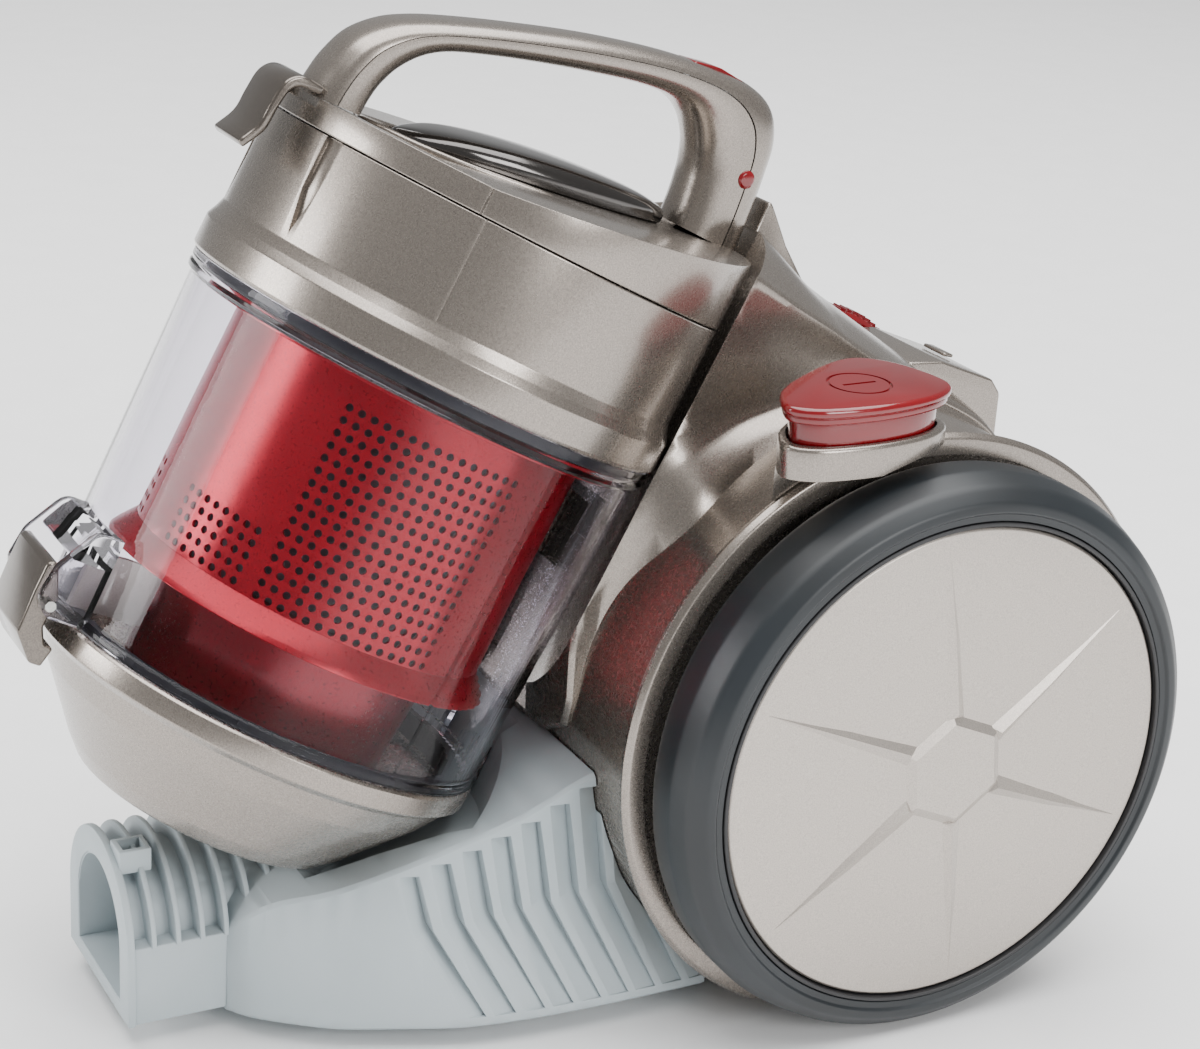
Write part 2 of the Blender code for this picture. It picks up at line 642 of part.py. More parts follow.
def make_caster():
    y = caster_y()
    wheel_y = y + CASTER_TRAIL
    bore = 2 * MM + BORE_CLEARANCE
    half = 7 * MM
    ring = [(bore, -half), (CASTER_R - 1.5 * MM, -half), (CASTER_R, -half + 1.5 * MM),
        (CASTER_R, half - 1.5 * MM),
            (CASTER_R - 1.5 * MM, half), (bore, half)]
    wheel = turned("caster_wheel", ring, INNER, None, 24, across=True)
    wheel.location = (0, wheel_y, CASTER_R)
    pin = [(0, -10.5 * MM), (2 * MM, -10.5 * MM), (2 * MM, 10.5 * MM), (0, 10.5 * MM)]
    axle = turned("caster_axle", pin, STEEL, None, PIN_STEPS, across=True)
    axle.location = (0, wheel_y, CASTER_R)
    deck = [(0, CASTER_DECK), (17 * MM, CASTER_DECK), (17 * MM, CASTER_DECK + 2.5 * MM),
        (4 * MM, CASTER_DECK + 2.5 * MM),
            (4 * MM, CASTER_DECK + 12 * MM), (0, CASTER_DECK + 12 * MM)]
    fork = turned("caster_fork", deck, INNER, None, SMALL_STEPS)
    fork.location = (0, y, 0)
    for side in (1, -1):
        low, high = sorted((side * 7.6 * MM, side * 10.8 * MM))
        outline = [(-3 * MM + CASTER_TRAIL, 5.5 * MM), (5 * MM + CASTER_TRAIL, 5.5 * MM),
            (5 * MM + CASTER_TRAIL, CASTER_DECK + 1 * MM),
                   (-9 * MM + CASTER_TRAIL, CASTER_DECK + 1 * MM)]
        cheek = prism("caster_cheek_%d" % side, outline, low, high, None)
        cheek.location = (0, y, 0)
        join(fork, cheek)
    hole = turned("caster_pin_hole", [(0, -15 * MM), (2 * MM + BORE_CLEARANCE, -15 * MM),
        (2 * MM + BORE_CLEARANCE, 15 * MM), (0, 15 * MM)],
                  None, None, PIN_STEPS, across=True)
    hole.location = (0, wheel_y, CASTER_R)
    cut(fork, hole)
    socket = [(4 * MM + BORE_CLEARANCE, CASTER_DECK + 3 * MM), (22 * MM, CASTER_DECK + 3 * MM),
        (22 * MM, FLOOR_GAP + 3 * MM + GAP),
              (24.5 * MM, FLOOR_GAP + 3 * MM + GAP), (24.5 * MM, CASTER_DECK + 5 * MM),
              (8 * MM, CASTER_DECK + 5 * MM),
              (8 * MM, CASTER_DECK + 12.5 * MM), (4 * MM + BORE_CLEARANCE, CASTER_DECK + 12.5 * MM)]
    housing = turned("caster_socket", socket, INNER, None, SMALL_STEPS)
    housing.location = (0, y, 0)


def make_socket():
    """Rubber sleeve that the hose end pushes into."""
    sleeve = [
        (18.5 * MM, 2 * MM), (SOCKET_R - GAP, 2 * MM), (SOCKET_R - GAP, 42 * MM), (17 * MM, 42 * MM),
        (16.5 * MM, 38 * MM),
        (18.5 * MM, 36 * MM),
    ]
    obj = turned("hose_socket", sleeve, SEAL, None, SMALL_STEPS)
    obj.location = (0, AXLE_Y - DUCT_FRONT, DUCT_Z)
    obj.rotation_euler = (-math.pi / 2, 0, 0)


def make_intake_duct():
    """Flat duct from the base up the inside of the drum to the bin's inlet."""
    centre = (AXLE.y, AXLE.z)
    outline = arc(centre, DRUM_R - SHELL - 1 * MM, 150, 226, 12) + arc(centre, DRUM_R - SHELL - 21 * MM,
        226, 150, 12)
    duct = prism("intake_duct", outline, -17 * MM, 17 * MM, INNER)
    bore = arc(centre, DRUM_R - SHELL - 3 * MM, 140, 240, 14) + arc(centre, DRUM_R - SHELL - 19 * MM, 240,
        140, 14)
    cut(duct, prism("intake_bore", bore, -15 * MM, 15 * MM, None))
    seat = turned("duct_seat", [(0, -60 * MM), (CRADLE_R + 1 * MM, -60 * MM),
        (CRADLE_R + 1 * MM, 200 * MM), (0, 200 * MM)], None, bin_frame)
    cut(duct, seat)


# --- what the drum holds ------------------------------------------------------


def make_motor():
    def across(name, profile, finish, steps=SMALL_STEPS):
        return turned(name, profile, finish, wheel_frame, steps, across=True)

    can = [(9 * MM, -34 * MM), (38 * MM, -34 * MM), (38 * MM, 14 * MM), (35.5 * MM, 14 * MM),
        (35.5 * MM, -31 * MM), (9 * MM, -31 * MM)]
    across("motor_can", can, STEEL)
    rotor = [(0, -40 * MM), (4 * MM, -40 * MM), (4 * MM, -28 * MM), (22 * MM, -24 * MM),
        (22 * MM, 6 * MM), (4 * MM, 10 * MM),
             (4 * MM, 32 * MM), (0, 32 * MM)]
    across("motor_rotor", rotor, COPPER)
    stator = [(23 * MM, -26 * MM), (35 * MM, -26 * MM), (35 * MM, 10 * MM), (23 * MM, 10 * MM)]
    across("motor_stator", stator, COPPER)
    fan = [(4.1 * MM, 20 * MM), (46 * MM, 20 * MM), (46 * MM, 21.5 * MM), (14 * MM, 26 * MM),
        (14 * MM, 31 * MM), (4.1 * MM, 31 * MM)]
    wheel = across("impeller", fan, STEEL)
    for i in range(6):
        blade = block("blade_%d" % i, (21 * MM, 12 * MM, -0.8 * MM), (30 * MM, 45 * MM, 0.8 * MM), None,
            wheel_frame)
        blade.rotation_euler = (math.radians(60 * i), 0, 0)
        join(wheel, blade)
    housing = [(20 * MM, 33 * MM), (51 * MM, 33 * MM), (51 * MM, 14.4 * MM), (38.4 * MM, 14.4 * MM),
        (38.4 * MM, 16.5 * MM),
               (48.5 * MM, 16.5 * MM), (48.5 * MM, 31 * MM), (20 * MM, 31 * MM)]
    shell = across("fan_housing", housing, INNER)
    foot = block("fan_foot", (16 * MM, AXLE_Y - 18 * MM, FLOOR_GAP + 1.3 * MM + SHELL),
        (31 * MM, AXLE_Y + 18 * MM, AXLE.z - 47 * MM), None)
    join(shell, foot)
    mount = [(9.5 * MM, -42 * MM), (30 * MM, -42 * MM), (30 * MM, -34.3 * MM), (9.5 * MM, -34.3 * MM)]
    across("motor_mount", mount, SEAL)


def make_reel():
    reel = [
        (14 * MM, -60 * MM), (62 * MM, -60 * MM), (62 * MM, -58 * MM), (26 * MM, -58 * MM),
        (26 * MM, -46.5 * MM),
        (62 * MM, -46.5 * MM), (62 * MM, -44.5 * MM), (14 * MM, -44.5 * MM),
    ]
    turned("cord_reel", reel, INNER, wheel_frame, SMALL_STEPS, across=True)
    coil = [(11 * MM, -60 * MM), (13.7 * MM, -60 * MM), (13.7 * MM, -46 * MM), (11 * MM, -46 * MM)]
    turned("rewind_spring", coil, STEEL, wheel_frame, SMALL_STEPS, across=True)
    board_low = AXLE.z + 24 * MM
    block("control_board", (DRUM_HALF - 2 * MM, AXLE_Y - 30 * MM, board_low),
        (DRUM_HALF, AXLE_Y + 20 * MM, board_low + 34 * MM), INNER)


# --- bin ----------------------------------------------------------------------


def make_clear_bin():
    wall = [
        (BIN_R0 - BIN_WALL, 0.3 * MM), (BIN_R0 + 1 * MM, 0.3 * MM), (BIN_R0 + 1 * MM, 3 * MM),
        (BIN_R0, 4 * MM),
        (BIN_R1 - 0.2 * MM, BIN_H - 6 * MM), (BIN_R1 + 1.5 * MM, BIN_H - 5 * MM),
        (BIN_R1 + 1.5 * MM, BIN_H),
        (BIN_R1 - BIN_WALL, BIN_H),
    ]
    clear = turned("clear_bin", wall, CLEAR, bin_frame, STEPS)
    lug_front, lug_z = LATCH_PIN
    for side in (1, -1):
        low, high = sorted((side * LUG_HALF, side * (LUG_HALF + 3.5 * MM)))
        outline = [(-70 * MM, 1 * MM), (-lug_front + 1 * MM, 0.8 * MM), (-lug_front - 4 * MM, lug_z),
            (-lug_front - 3 * MM, lug_z + 9 * MM),
                   (-80 * MM, 31 * MM), (-70 * MM, 31 * MM)]
        cheek = prism("lug_%d" % side, outline, low, high, None, bin_frame)
        join(clear, cheek)
    bridge = prism("lug_bridge", [(-70 * MM, 22 * MM), (-84.5 * MM, 22 * MM), (-80 * MM, 31 * MM),
        (-70 * MM, 31 * MM)],
                   -LUG_HALF - 1 * MM, LUG_HALF + 1 * MM, None, bin_frame)
    join(clear, bridge)
    inside = [(0, -20 * MM), (BIN_R0 - BIN_WALL, -20 * MM), (BIN_R0 - BIN_WALL, 0.3 * MM),
        (BIN_R1 - BIN_WALL, BIN_H), (BIN_R1 - BIN_WALL, BIN_H + 23 * MM),
        (0, BIN_H + 23 * MM)]
    cut(clear, helper(turned("bin_inside", inside, None, bin_frame, STEPS)))
    pin_hole = turned("lug_pin_hole", [(0, -30 * MM), (PIN_BORE, -30 * MM), (PIN_BORE, 30 * MM),
        (0, 30 * MM)],
                      None, bin_frame, PIN_STEPS, across=True)
    pin_hole.location = (0, -lug_front, lug_z)
    cut(clear, pin_hole)
    cut(clear, block("bin_inlet", (-13 * MM, 60 * MM, 72 * MM), (13 * MM, 100 * MM, 96 * MM), None,
        bin_frame))
    back, hinge_z = CAP_HINGE
    for side in (1, -1):
        low, high = sorted((side * 10.4 * MM, side * 15 * MM))
        ear = turned("hinge_ear_%d" % side, [(0, low), (4 * MM, low), (4 * MM, high), (0, high)], None,
            bin_frame, PIN_STEPS, across=True)
        ear.location = (0, back, hinge_z)
        web = block("hinge_web_%d" % side, (low, 74.5 * MM, hinge_z + 2 * MM),
            (high, back + 3.5 * MM, 8 * MM), None, bin_frame)
        join(clear, ear)
        join(clear, web)
    hinge_hole = turned("hinge_pin_hole", [(0, -30 * MM), (PIN_BORE, -30 * MM), (PIN_BORE, 30 * MM),
        (0, 30 * MM)],
                        None, bin_frame, PIN_STEPS, across=True)
    hinge_hole.location = (0, back, hinge_z)
    cut(clear, hinge_hole)


def make_cap():
    """Bottom cap: a cup that swings down about its rear hinge to empty the bin."""
    back, hinge_z = CAP_HINGE
    w = CAP_WALL
    profile = [
        (CAP_LIP_R - 5 * MM, 0), (CAP_LIP_R - 0.8 * MM, 0), (CAP_LIP_R, -1.5 * MM), (CAP_LIP_R, -7 * MM),
        (CAP_LIP_R - 2.5 * MM, -9 * MM),
        (CAP_FLOOR_R + 17 * MM, -27 * MM), (CAP_FLOOR_R + 7 * MM, -40 * MM), (CAP_FLOOR_R, -CAP_DEPTH),
        (0, -CAP_DEPTH),
        (0, -CAP_DEPTH + w), (CAP_FLOOR_R - 1 * MM, -CAP_DEPTH + w), (CAP_FLOOR_R + 13 * MM, -27 * MM),
        (CAP_LIP_R - 5 * MM, -9 * MM),
    ]
    cap = turned("bottom_cap", profile, BRONZE, bin_frame, STEPS)
    knuckle = turned("cap_knuckle", [(0, -10 * MM), (4 * MM, -10 * MM), (4 * MM, 10 * MM), (0, 10 * MM)],
        None, bin_frame, PIN_STEPS, across=True)
    knuckle.location = (0, back, hinge_z)
    join(cap, knuckle)
    room = block("ear_room", (-15.4 * MM, 73.9 * MM, -9.5 * MM), (-10.1 * MM, 90 * MM, 3 * MM), None,
        bin_frame)
    cut(cap, room)
    room = block("ear_room_2", (10.1 * MM, 73.9 * MM, -9.5 * MM), (15.4 * MM, 90 * MM, 3 * MM), None,
        bin_frame)
    cut(cap, room)
    hole = turned("knuckle_hole", [(0, -30 * MM), (PIN_BORE, -30 * MM), (PIN_BORE, 30 * MM), (0, 30 * MM)],
                  None, bin_frame, PIN_STEPS, across=True)
    hole.location = (0, back, hinge_z)
    cut(cap, hole)
    pin = turned("cap_hinge_pin", [(0, -15 * MM), (PIN_R, -15 * MM), (PIN_R, 15 * MM), (0, 15 * MM)],
        STEEL, bin_frame, PIN_STEPS, across=True)
    pin.location = (0, back, hinge_z)
    ring = [(CAP_LIP_R - 9.6 * MM, -6 * MM), (CAP_LIP_R - 5.4 * MM, -6 * MM),
        (CAP_LIP_R - 5.4 * MM, 2 * MM), (CAP_LIP_R - 9.6 * MM, 2 * MM)]
    turned("cap_gasket", ring, SEAL, bin_frame, STEPS)


def make_bottom_latch():
    front, z = LATCH_PIN
    outline = [
        (-front + 3.4 * MM, z + 2 * MM), (-front + 1 * MM, z + 6 * MM), (-front - 3 * MM, z + 12 * MM),
        (-front - 5 * MM, z + 11 * MM),
        (-front - 4.2 * MM, z + 2 * MM), (-front - 3.6 * MM, z - 12 * MM), (-front + 5 * MM, z - 20 * MM),
        (-front + 8.4 * MM, z - 19 * MM),
        (-front + 9.5 * MM, z - 13 * MM), (-front + 6 * MM, z - 13 * MM), (-front + 3.4 * MM, z - 8 * MM),
    ]
    latch = prism("bottom_latch", outline, -LUG_HALF + 0.5 * MM, LUG_HALF - 0.5 * MM, BRONZE_DARK,
        bin_frame, origin=(0, -front, z))
    hole = turned("latch_pin_hole", [(0, -30 * MM), (PIN_BORE, -30 * MM), (PIN_BORE, 30 * MM),
        (0, 30 * MM)],
                  None, bin_frame, PIN_STEPS, across=True)
    hole.location = (0, -front, z)
    cut(latch, hole)
    pin = turned("latch_pin", [(0, -19.5 * MM), (PIN_R, -19.5 * MM), (PIN_R, 19.5 * MM), (0, 19.5 * MM)],
        STEEL, bin_frame, PIN_STEPS, across=True)
    pin.location = (0, -front, z)


def make_cyclone():
    top = BIN_H - 6.5 * MM
    r = SHROUD_R
    shroud = [(r - 2 * MM, SHROUD_LOW), (r, SHROUD_LOW), (r, top - 2 * MM), (71 * MM, top - 2 * MM),
        (71 * MM, top), (r - 2 * MM, top)]
    turned("cyclone_shroud", shroud, RED, bin_frame, STEPS)
    skirt = [(CUP_R + GAP, SHROUD_LOW - GAP), (r - 1.5 * MM, SHROUD_LOW - GAP), (r, SHROUD_LOW - GAP),
        (SKIRT_R, SKIRT_LOW), (SKIRT_R - 1.5 * MM, SKIRT_LOW), (r - 3 * MM, SHROUD_LOW - 3 * MM),
             (CUP_R + GAP, SHROUD_LOW - 3 * MM)]
    turned("shroud_skirt", skirt, RED, bin_frame, STEPS)
    cup = [(CUP_R - 2 * MM, SHROUD_LOW), (CUP_R, SHROUD_LOW), (CUP_R - 4 * MM, -CAP_DEPTH + 9 * MM),
        (CUP_R - 14 * MM, -CAP_DEPTH + 5 * MM),
           (0, -CAP_DEPTH + 5 * MM), (0, -CAP_DEPTH + 7 * MM), (CUP_R - 15 * MM, -CAP_DEPTH + 7 * MM),
           (CUP_R - 6 * MM, -CAP_DEPTH + 10 * MM)]
    turned("dust_cup", cup, RED_DARK, bin_frame, STEPS)
    cone = [
        (18 * MM, -10 * MM), (20 * MM, -10 * MM), (42 * MM, 80 * MM), (42 * MM, top - 2 * MM),
        (r - 2.3 * MM, top - 2 * MM),
        (r - 2.3 * MM, top), (40 * MM, top), (40 * MM, 80 * MM),
    ]
    turned("cyclone_cone", cone, INNER, bin_frame, SMALL_STEPS)
    ring = [(66 * MM, top + GAP), (75 * MM, top + GAP), (75.2 * MM, BIN_H - 0.5 * MM),
        (66 * MM, BIN_H - 0.5 * MM)]
    turned("bin_gasket", ring, SEAL, bin_frame, STEPS)
    block("dust_baffle", (-1.2 * MM, -72.2 * MM, 3 * MM), (1.2 * MM, -CUP_R - 0.6 * MM, 22 * MM), CLEAR,
        bin_frame)


def make_collar():
    foot = BIN_H + GAP
    top = COLLAR_TOP - GAP
    wall = 4 * MM
    profile = [
        (22.5 * MM, foot), (COLLAR_FLARE_R - 0.8 * MM, foot), (COLLAR_FLARE_R, foot + 1 * MM),
        (COLLAR_FLARE_R, 127.5 * MM),
        (COLLAR_FLARE_R - 0.8 * MM, 129.5 * MM), (COLLAR_R, 134 * MM), (COLLAR_R, top),
        (COLLAR_R - wall, top),
        (COLLAR_R - wall, foot + 3.5 * MM), (22.5 * MM, foot + 3.5 * MM),
    ]
    turned("collar", profile, BRONZE, bin_frame, STEPS)
    foam = [(0, 137 * MM), (COLLAR_R - wall - GAP, 137 * MM), (COLLAR_R - wall - GAP, 158 * MM),
        (0, 158 * MM)]
    turned("fine_filter", foam, FOAM, bin_frame, STEPS)


FAIRING = (  # forward of the bin's axis, half-widths at the base and the ridge, height
    (46, 60, 56, 176.6), (20, 70, 58, 179.6), (-12, 74, 54, 183), (-40, 66, 50, 186),
    (-62, 47, 44, 188.4), (-74, 25, 22, 189.2),
)


POD = (  # the pod's sections: forward of the bin's axis, half-width and height, in mm
    (44, 3, 181), (38, 12, 184), (20, 19, 187.5), (-10, 22, 190.5), (-36, 19, 192.5), (-50, 13, 193.5),
)


def make_lid():
    profile = [
        (COLLAR_R - 8 * MM, COLLAR_TOP), (COLLAR_R, COLLAR_TOP), (COLLAR_R, LID_EDGE - 2 * MM),
        (COLLAR_R - 2 * MM, LID_EDGE),
        (55 * MM, LID_EDGE + 1.4 * MM), (0, LID_CROWN), (0, LID_EDGE - 4 * MM),
        (COLLAR_R - 8 * MM, LID_EDGE - 4 * MM),
    ]
    lid = turned("lid", profile, BRONZE, bin_frame, STEPS)
    rings = []
    for forward, base, ridge, height in FAIRING:
        half = [(base * MM, 172 * MM), (base * MM, 174 * MM), (ridge * MM, height * MM),
            (ridge * 0.4 * MM, height * MM + 1.2 * MM)]
        rings.append([Vector((x, -forward * MM, z)) for x,
            z in half + [(-x, z) for x, z in reversed(half)]])
    join(lid, loft("lid_fairing", rings, None, bin_frame))
    pod = []
    for forward, width, height in POD:
        low = 178.6 * MM + (44 - forward) * 0.13 * MM
        half = [(width * MM, low), (width * MM, height * MM - 2.5 * MM),
            (width * 0.8 * MM, height * MM - 0.6 * MM), (width * 0.35 * MM, height * MM)]
        pod.append([Vector((x, -forward * MM, z)) for x, z in half + [(-x, z) for x, z in reversed(half)]])
    loft("pod_cover", pod, BRONZE_DARK, bin_frame)


HANDLE = (  # outer point then inner point: forward of the bin's axis, height above the seam
    ((76.4, 175.5), (60.5, 176.6)), ((76.5, 186), (59.5, 187)), ((72, 198.5), (55.5, 195.5)),
    ((62, 207.5), (47, 202.5)),
    ((46, 215), (38, 206.5)), ((24, 223), (21, 212)), ((0, 230.5), (-2, 219)), ((-24, 236.5), (-22, 224)),
    ((-45, 240.5), (-37, 225.5)), ((-66, 241), (-47, 221)), ((-77, 233), (-52.5, 214)),
    ((-81, 217), (-55.5, 206)),
    ((-83, 203), (-56.5, 199)), ((-83.5, 190.6), (-57, 190.6)),
)


def section_half(upper, count=6):
    """Half of a rounded section, as (across, up) from -1 to 1, cut at the shell seam."""
    power = 2.7
    seam = HANDLE_SPLIT + (0.02 if upper else -0.02)
    width = (1 - abs(seam) ** power) ** (1 / power)
    start = math.atan2(seam, width)
    end = math.pi - start if upper else -math.pi - start
    points = []
    for i in range(count):
        a = start + (end - start) * i / (count - 1)
        c, s = math.cos(a), math.sin(a)
        reach = (abs(c) ** power + abs(s) ** power) ** (-1 / power)
        points.append((reach * c, reach * s))
    return points


def handle_rings(upper):
    rings = []
    for outer, inner in HANDLE:
        top = Vector((0, -outer[0] * MM, outer[1] * MM))
        bottom = Vector((0, -inner[0] * MM, inner[1] * MM))
        middle = (top + bottom) / 2
        up = (top - bottom) / 2
        rings.append([middle + Vector((HANDLE_HALF * a, 0, 0)) + up * b for a, b in section_half(upper)])
    return rings


BUTTON_AT = (-46 * MM, 241 * MM)


def make_handle():
    loft("handle_grip", handle_rings(False), BRONZE, bin_frame)
    cover = loft("handle_cover", handle_rings(True), BRONZE, bin_frame)
    forward, height = BUTTON_AT
    slot = block("button_slot", (-6.4 * MM, -forward - 10.4 * MM, height - 5 * MM),
        (6.4 * MM, -forward + 10.4 * MM, height + 20 * MM), None, bin_frame)
    cut(cover, slot)
    block("release_button", (-6 * MM, -forward - 10 * MM, height - 1.5 * MM),
        (6 * MM, -forward + 10 * MM, height + 2 * MM), RED_GLOSS, bin_frame,
                   origin=(0, -forward, height), bevel=1.2 * MM)
    dot = [(0, 0), (2.2 * MM, 0), (2.2 * MM, 1 * MM), (1.6 * MM, 1.6 * MM), (0, 1.8 * MM)]
    cap = turned("release_marker", dot, RED_GLOSS, bin_frame, PIN_STEPS, across=True)
    cap.location = (HANDLE_HALF + GAP, 71 * MM, 214 * MM)


def make_lid_latch():
    """Strap clip at the front: it pivots on the lid and hooks over the collar."""
    pivot = (-81 * MM, 177.2 * MM)
    outline = [
        (-77 * MM, 178.6 * MM), (-86 * MM, 178.8 * MM), (-91 * MM, 175.5 * MM), (-92.5 * MM, 167 * MM),
        (-97 * MM, 156 * MM),
        (-95 * MM, 155.2 * MM), (-90 * MM, 167 * MM), (-88.6 * MM, 174 * MM), (-86 * MM, 176.2 * MM),
        (-77 * MM, 175.3 * MM),
    ]
    return prism("lid_latch", outline, -11 * MM, 11 * MM, BRONZE_DARK, bin_frame, origin=(0, *pivot),
        bevel=0.5 * MM)


clear_scene()
wheel_frame = empty("axle_frame", AXLE)
bin_frame = empty("bin_frame", BIN_ORIGIN, (-BIN_TILT, 0, 0))
make_wheel(1, "right", wheel_frame)
make_wheel(-1, "left", wheel_frame)
make_axles()
make_upper_housing()
make_lower_housing()
make_side_walls()
make_grille()
make_post()
make_dial()
make_pedal(1, "power_pedal", "pedal_collar_right")
make_pedal(-1, "rewind_pedal", "pedal_collar_left")
make_base()
make_bottom_plate()
make_caster()
make_socket()
make_intake_duct()
make_motor()
make_reel()
make_clear_bin()
make_cap()
make_bottom_latch()
make_cyclone()
make_collar()
make_lid()
make_handle()
make_lid_latch()
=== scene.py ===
"""Looks of the canister vacuum cleaner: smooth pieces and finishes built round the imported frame.

Everything is in metres in the frame's own axes: +Z up, the front faces -Y, the right wheel is at +X.
Pieces of the bin are modelled in the bin's own axes and placed by BIN, whose Z runs up the tilted bin.
"""

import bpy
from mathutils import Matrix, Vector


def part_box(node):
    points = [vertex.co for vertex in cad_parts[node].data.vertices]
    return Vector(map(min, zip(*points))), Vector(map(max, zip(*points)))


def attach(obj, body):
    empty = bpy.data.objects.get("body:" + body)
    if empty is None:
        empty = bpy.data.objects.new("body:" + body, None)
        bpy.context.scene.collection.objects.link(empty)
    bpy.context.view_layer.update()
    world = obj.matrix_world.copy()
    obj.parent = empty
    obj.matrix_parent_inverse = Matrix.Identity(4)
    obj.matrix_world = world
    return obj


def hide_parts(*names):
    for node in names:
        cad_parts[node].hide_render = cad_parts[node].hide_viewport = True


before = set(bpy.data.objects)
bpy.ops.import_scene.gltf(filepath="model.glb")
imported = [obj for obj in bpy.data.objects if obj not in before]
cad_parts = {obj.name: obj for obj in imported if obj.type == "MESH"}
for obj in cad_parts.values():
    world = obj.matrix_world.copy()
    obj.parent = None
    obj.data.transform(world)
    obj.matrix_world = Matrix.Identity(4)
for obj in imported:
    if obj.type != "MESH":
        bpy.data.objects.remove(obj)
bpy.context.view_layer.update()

import math

import bmesh
import bpy
from mathutils import Matrix, Vector

MM = 0.001

# Places read from the frame
WHEEL_LOW, WHEEL_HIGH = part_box("tyre_right")
AXLE = Vector((0, (WHEEL_LOW[1] + WHEEL_HIGH[1]) / 2, (WHEEL_LOW[2] + WHEEL_HIGH[2]) / 2))
BIN_TILT = math.radians(27.2)
BIN_SEAM = Vector((0, AXLE.y - 189.6 * MM, 108 * MM))
BIN = Matrix.Translation(BIN_SEAM) @ Matrix.Rotation(-BIN_TILT, 4, "X")
HUB = Matrix.Translation(AXLE)

# Sizes that several pieces share
DRUM_R = 100 * MM
DRUM_HALF = 84 * MM
SHELL = 3.5 * MM
UNDERSIDE = 7 * MM  # of the drum, above the floor
FRONT_JOINT = 200  # degrees round the drum, where its upper and lower housings meet
REAR_JOINT = 335.2  # the same at the rear, under the grille
GRILLE_LOW, GRILLE_HIGH = -24, 22  # degrees above the rear horizontal
SHROUD_R = 60 * MM
HOLE_PITCH = 4.2 * MM
HOLE_R = 1.25 * MM
CAP_HINGE = (78.5 * MM, -3.6 * MM)  # behind the bin's axis, below the seam
SWEEP_R = 82.2 * MM  # what the bin clears as it is lifted
TURN_STEPS = 144
FINE_STEPS = 192  # for the large round pieces
CORNER_STEPS = 4


# --- mesh helpers ---------------------------------------------------------------


def mm(*values):
    """A point in metres from numbers in mm."""
    return tuple(v * MM for v in values)


def in_mm(*points):
    """An outline in metres from points in mm; a third number is that corner's own radius."""
    return [mm(*p) for p in points]


def mesh_object(name, bm, place=None, sharp=30):
    """Bakes the place into the mesh, so the object stays at the origin."""
    bmesh.ops.remove_doubles(bm, verts=bm.verts, dist=1e-6)
    bmesh.ops.recalc_face_normals(bm, faces=bm.faces)
    if place is not None:
        bmesh.ops.transform(bm, matrix=place, verts=bm.verts)
    mesh = bpy.data.meshes.new(name)
    bm.to_mesh(mesh)
    bm.free()
    mesh.shade_smooth()
    mesh.set_sharp_from_angle(angle=math.radians(sharp))
    obj = bpy.data.objects.new(name, mesh)
    bpy.context.scene.collection.objects.link(obj)
    return obj


def settled(obj, sharp=30):
    """Applies the modifiers, so the object holds only its final mesh."""
    graph = bpy.context.evaluated_depsgraph_get()
    graph.update()
    mesh = bpy.data.meshes.new_from_object(obj.evaluated_get(graph))
    obj.modifiers.clear()
    old = obj.data
    obj.data = mesh
    mesh.name = obj.name
    bpy.data.meshes.remove(old)
    mesh.shade_smooth()
    mesh.set_sharp_from_angle(angle=math.radians(sharp))
    return obj


def rounded(points, radius):
    """A closed outline with each corner turned into an arc; a point may carry its own radius."""
    corners = [Vector(p[:2]) for p in points]
    radii = [p[2] if len(p) > 2 else radius for p in points]
    out = []
    for i, corner in enumerate(corners):
        before, after = corners[i - 1], corners[(i + 1) % len(corners)]
        a, b = before - corner, after - corner
        if radii[i] <= 0 or a.length < 1e-7 or b.length < 1e-7:
            out.append(corner)
            continue
        angle = a.angle(b)
        if angle > math.radians(176) or angle < math.radians(2):
            out.append(corner)
            continue
        reach = min(radii[i] / math.tan(angle / 2), a.length * 0.45, b.length * 0.45)
        start, end = corner + a.normalized() * reach, corner + b.normalized() * reach
        for k in range(CORNER_STEPS + 1):
            t = k / CORNER_STEPS
            out.append((1 - t) ** 2 * start + 2 * t * (1 - t) * corner + t * t * end)
    return out


def turned(name, profile, place=BIN, steps=TURN_STEPS, across=False, radius=0.6 * MM):
    """Turns a closed (radius, height) outline about the place's Z, or about its X where across is set."""
    outline = rounded([(p[0], p[1], *(p[2:] or ((0,) if p[0] <= 1e-6 else ()))) for p in profile], radius)
    bm = bmesh.new()
    verts = [bm.verts.new((p.x, 0, p.y)) for p in outline]
    edges = [bm.edges.new((verts[i], verts[(i + 1) % len(verts)])) for i in range(len(verts))]
    bmesh.ops.spin(bm, geom=verts + edges, cent=(0, 0, 0), axis=(0, 0, 1), angle=math.tau, steps=steps,
        use_merge=True)
    bmesh.ops.remove_doubles(bm, verts=bm.verts, dist=1e-6)
    bmesh.ops.delete(bm, geom=[e for e in bm.edges if not e.link_faces], context="EDGES")
    if across:
        for v in bm.verts:
            v.co = Vector((v.co.z, v.co.x, v.co.y))
    return mesh_object(name, bm, place)


def cylinder(name, radius, low, high, place=BIN, steps=TURN_STEPS, across=False):
    """A plain cylinder along the place's Z, or its X where across is set."""
    return turned(name, [(0, low), (radius, low), (radius, high), (0, high)], place, steps, across, 0)


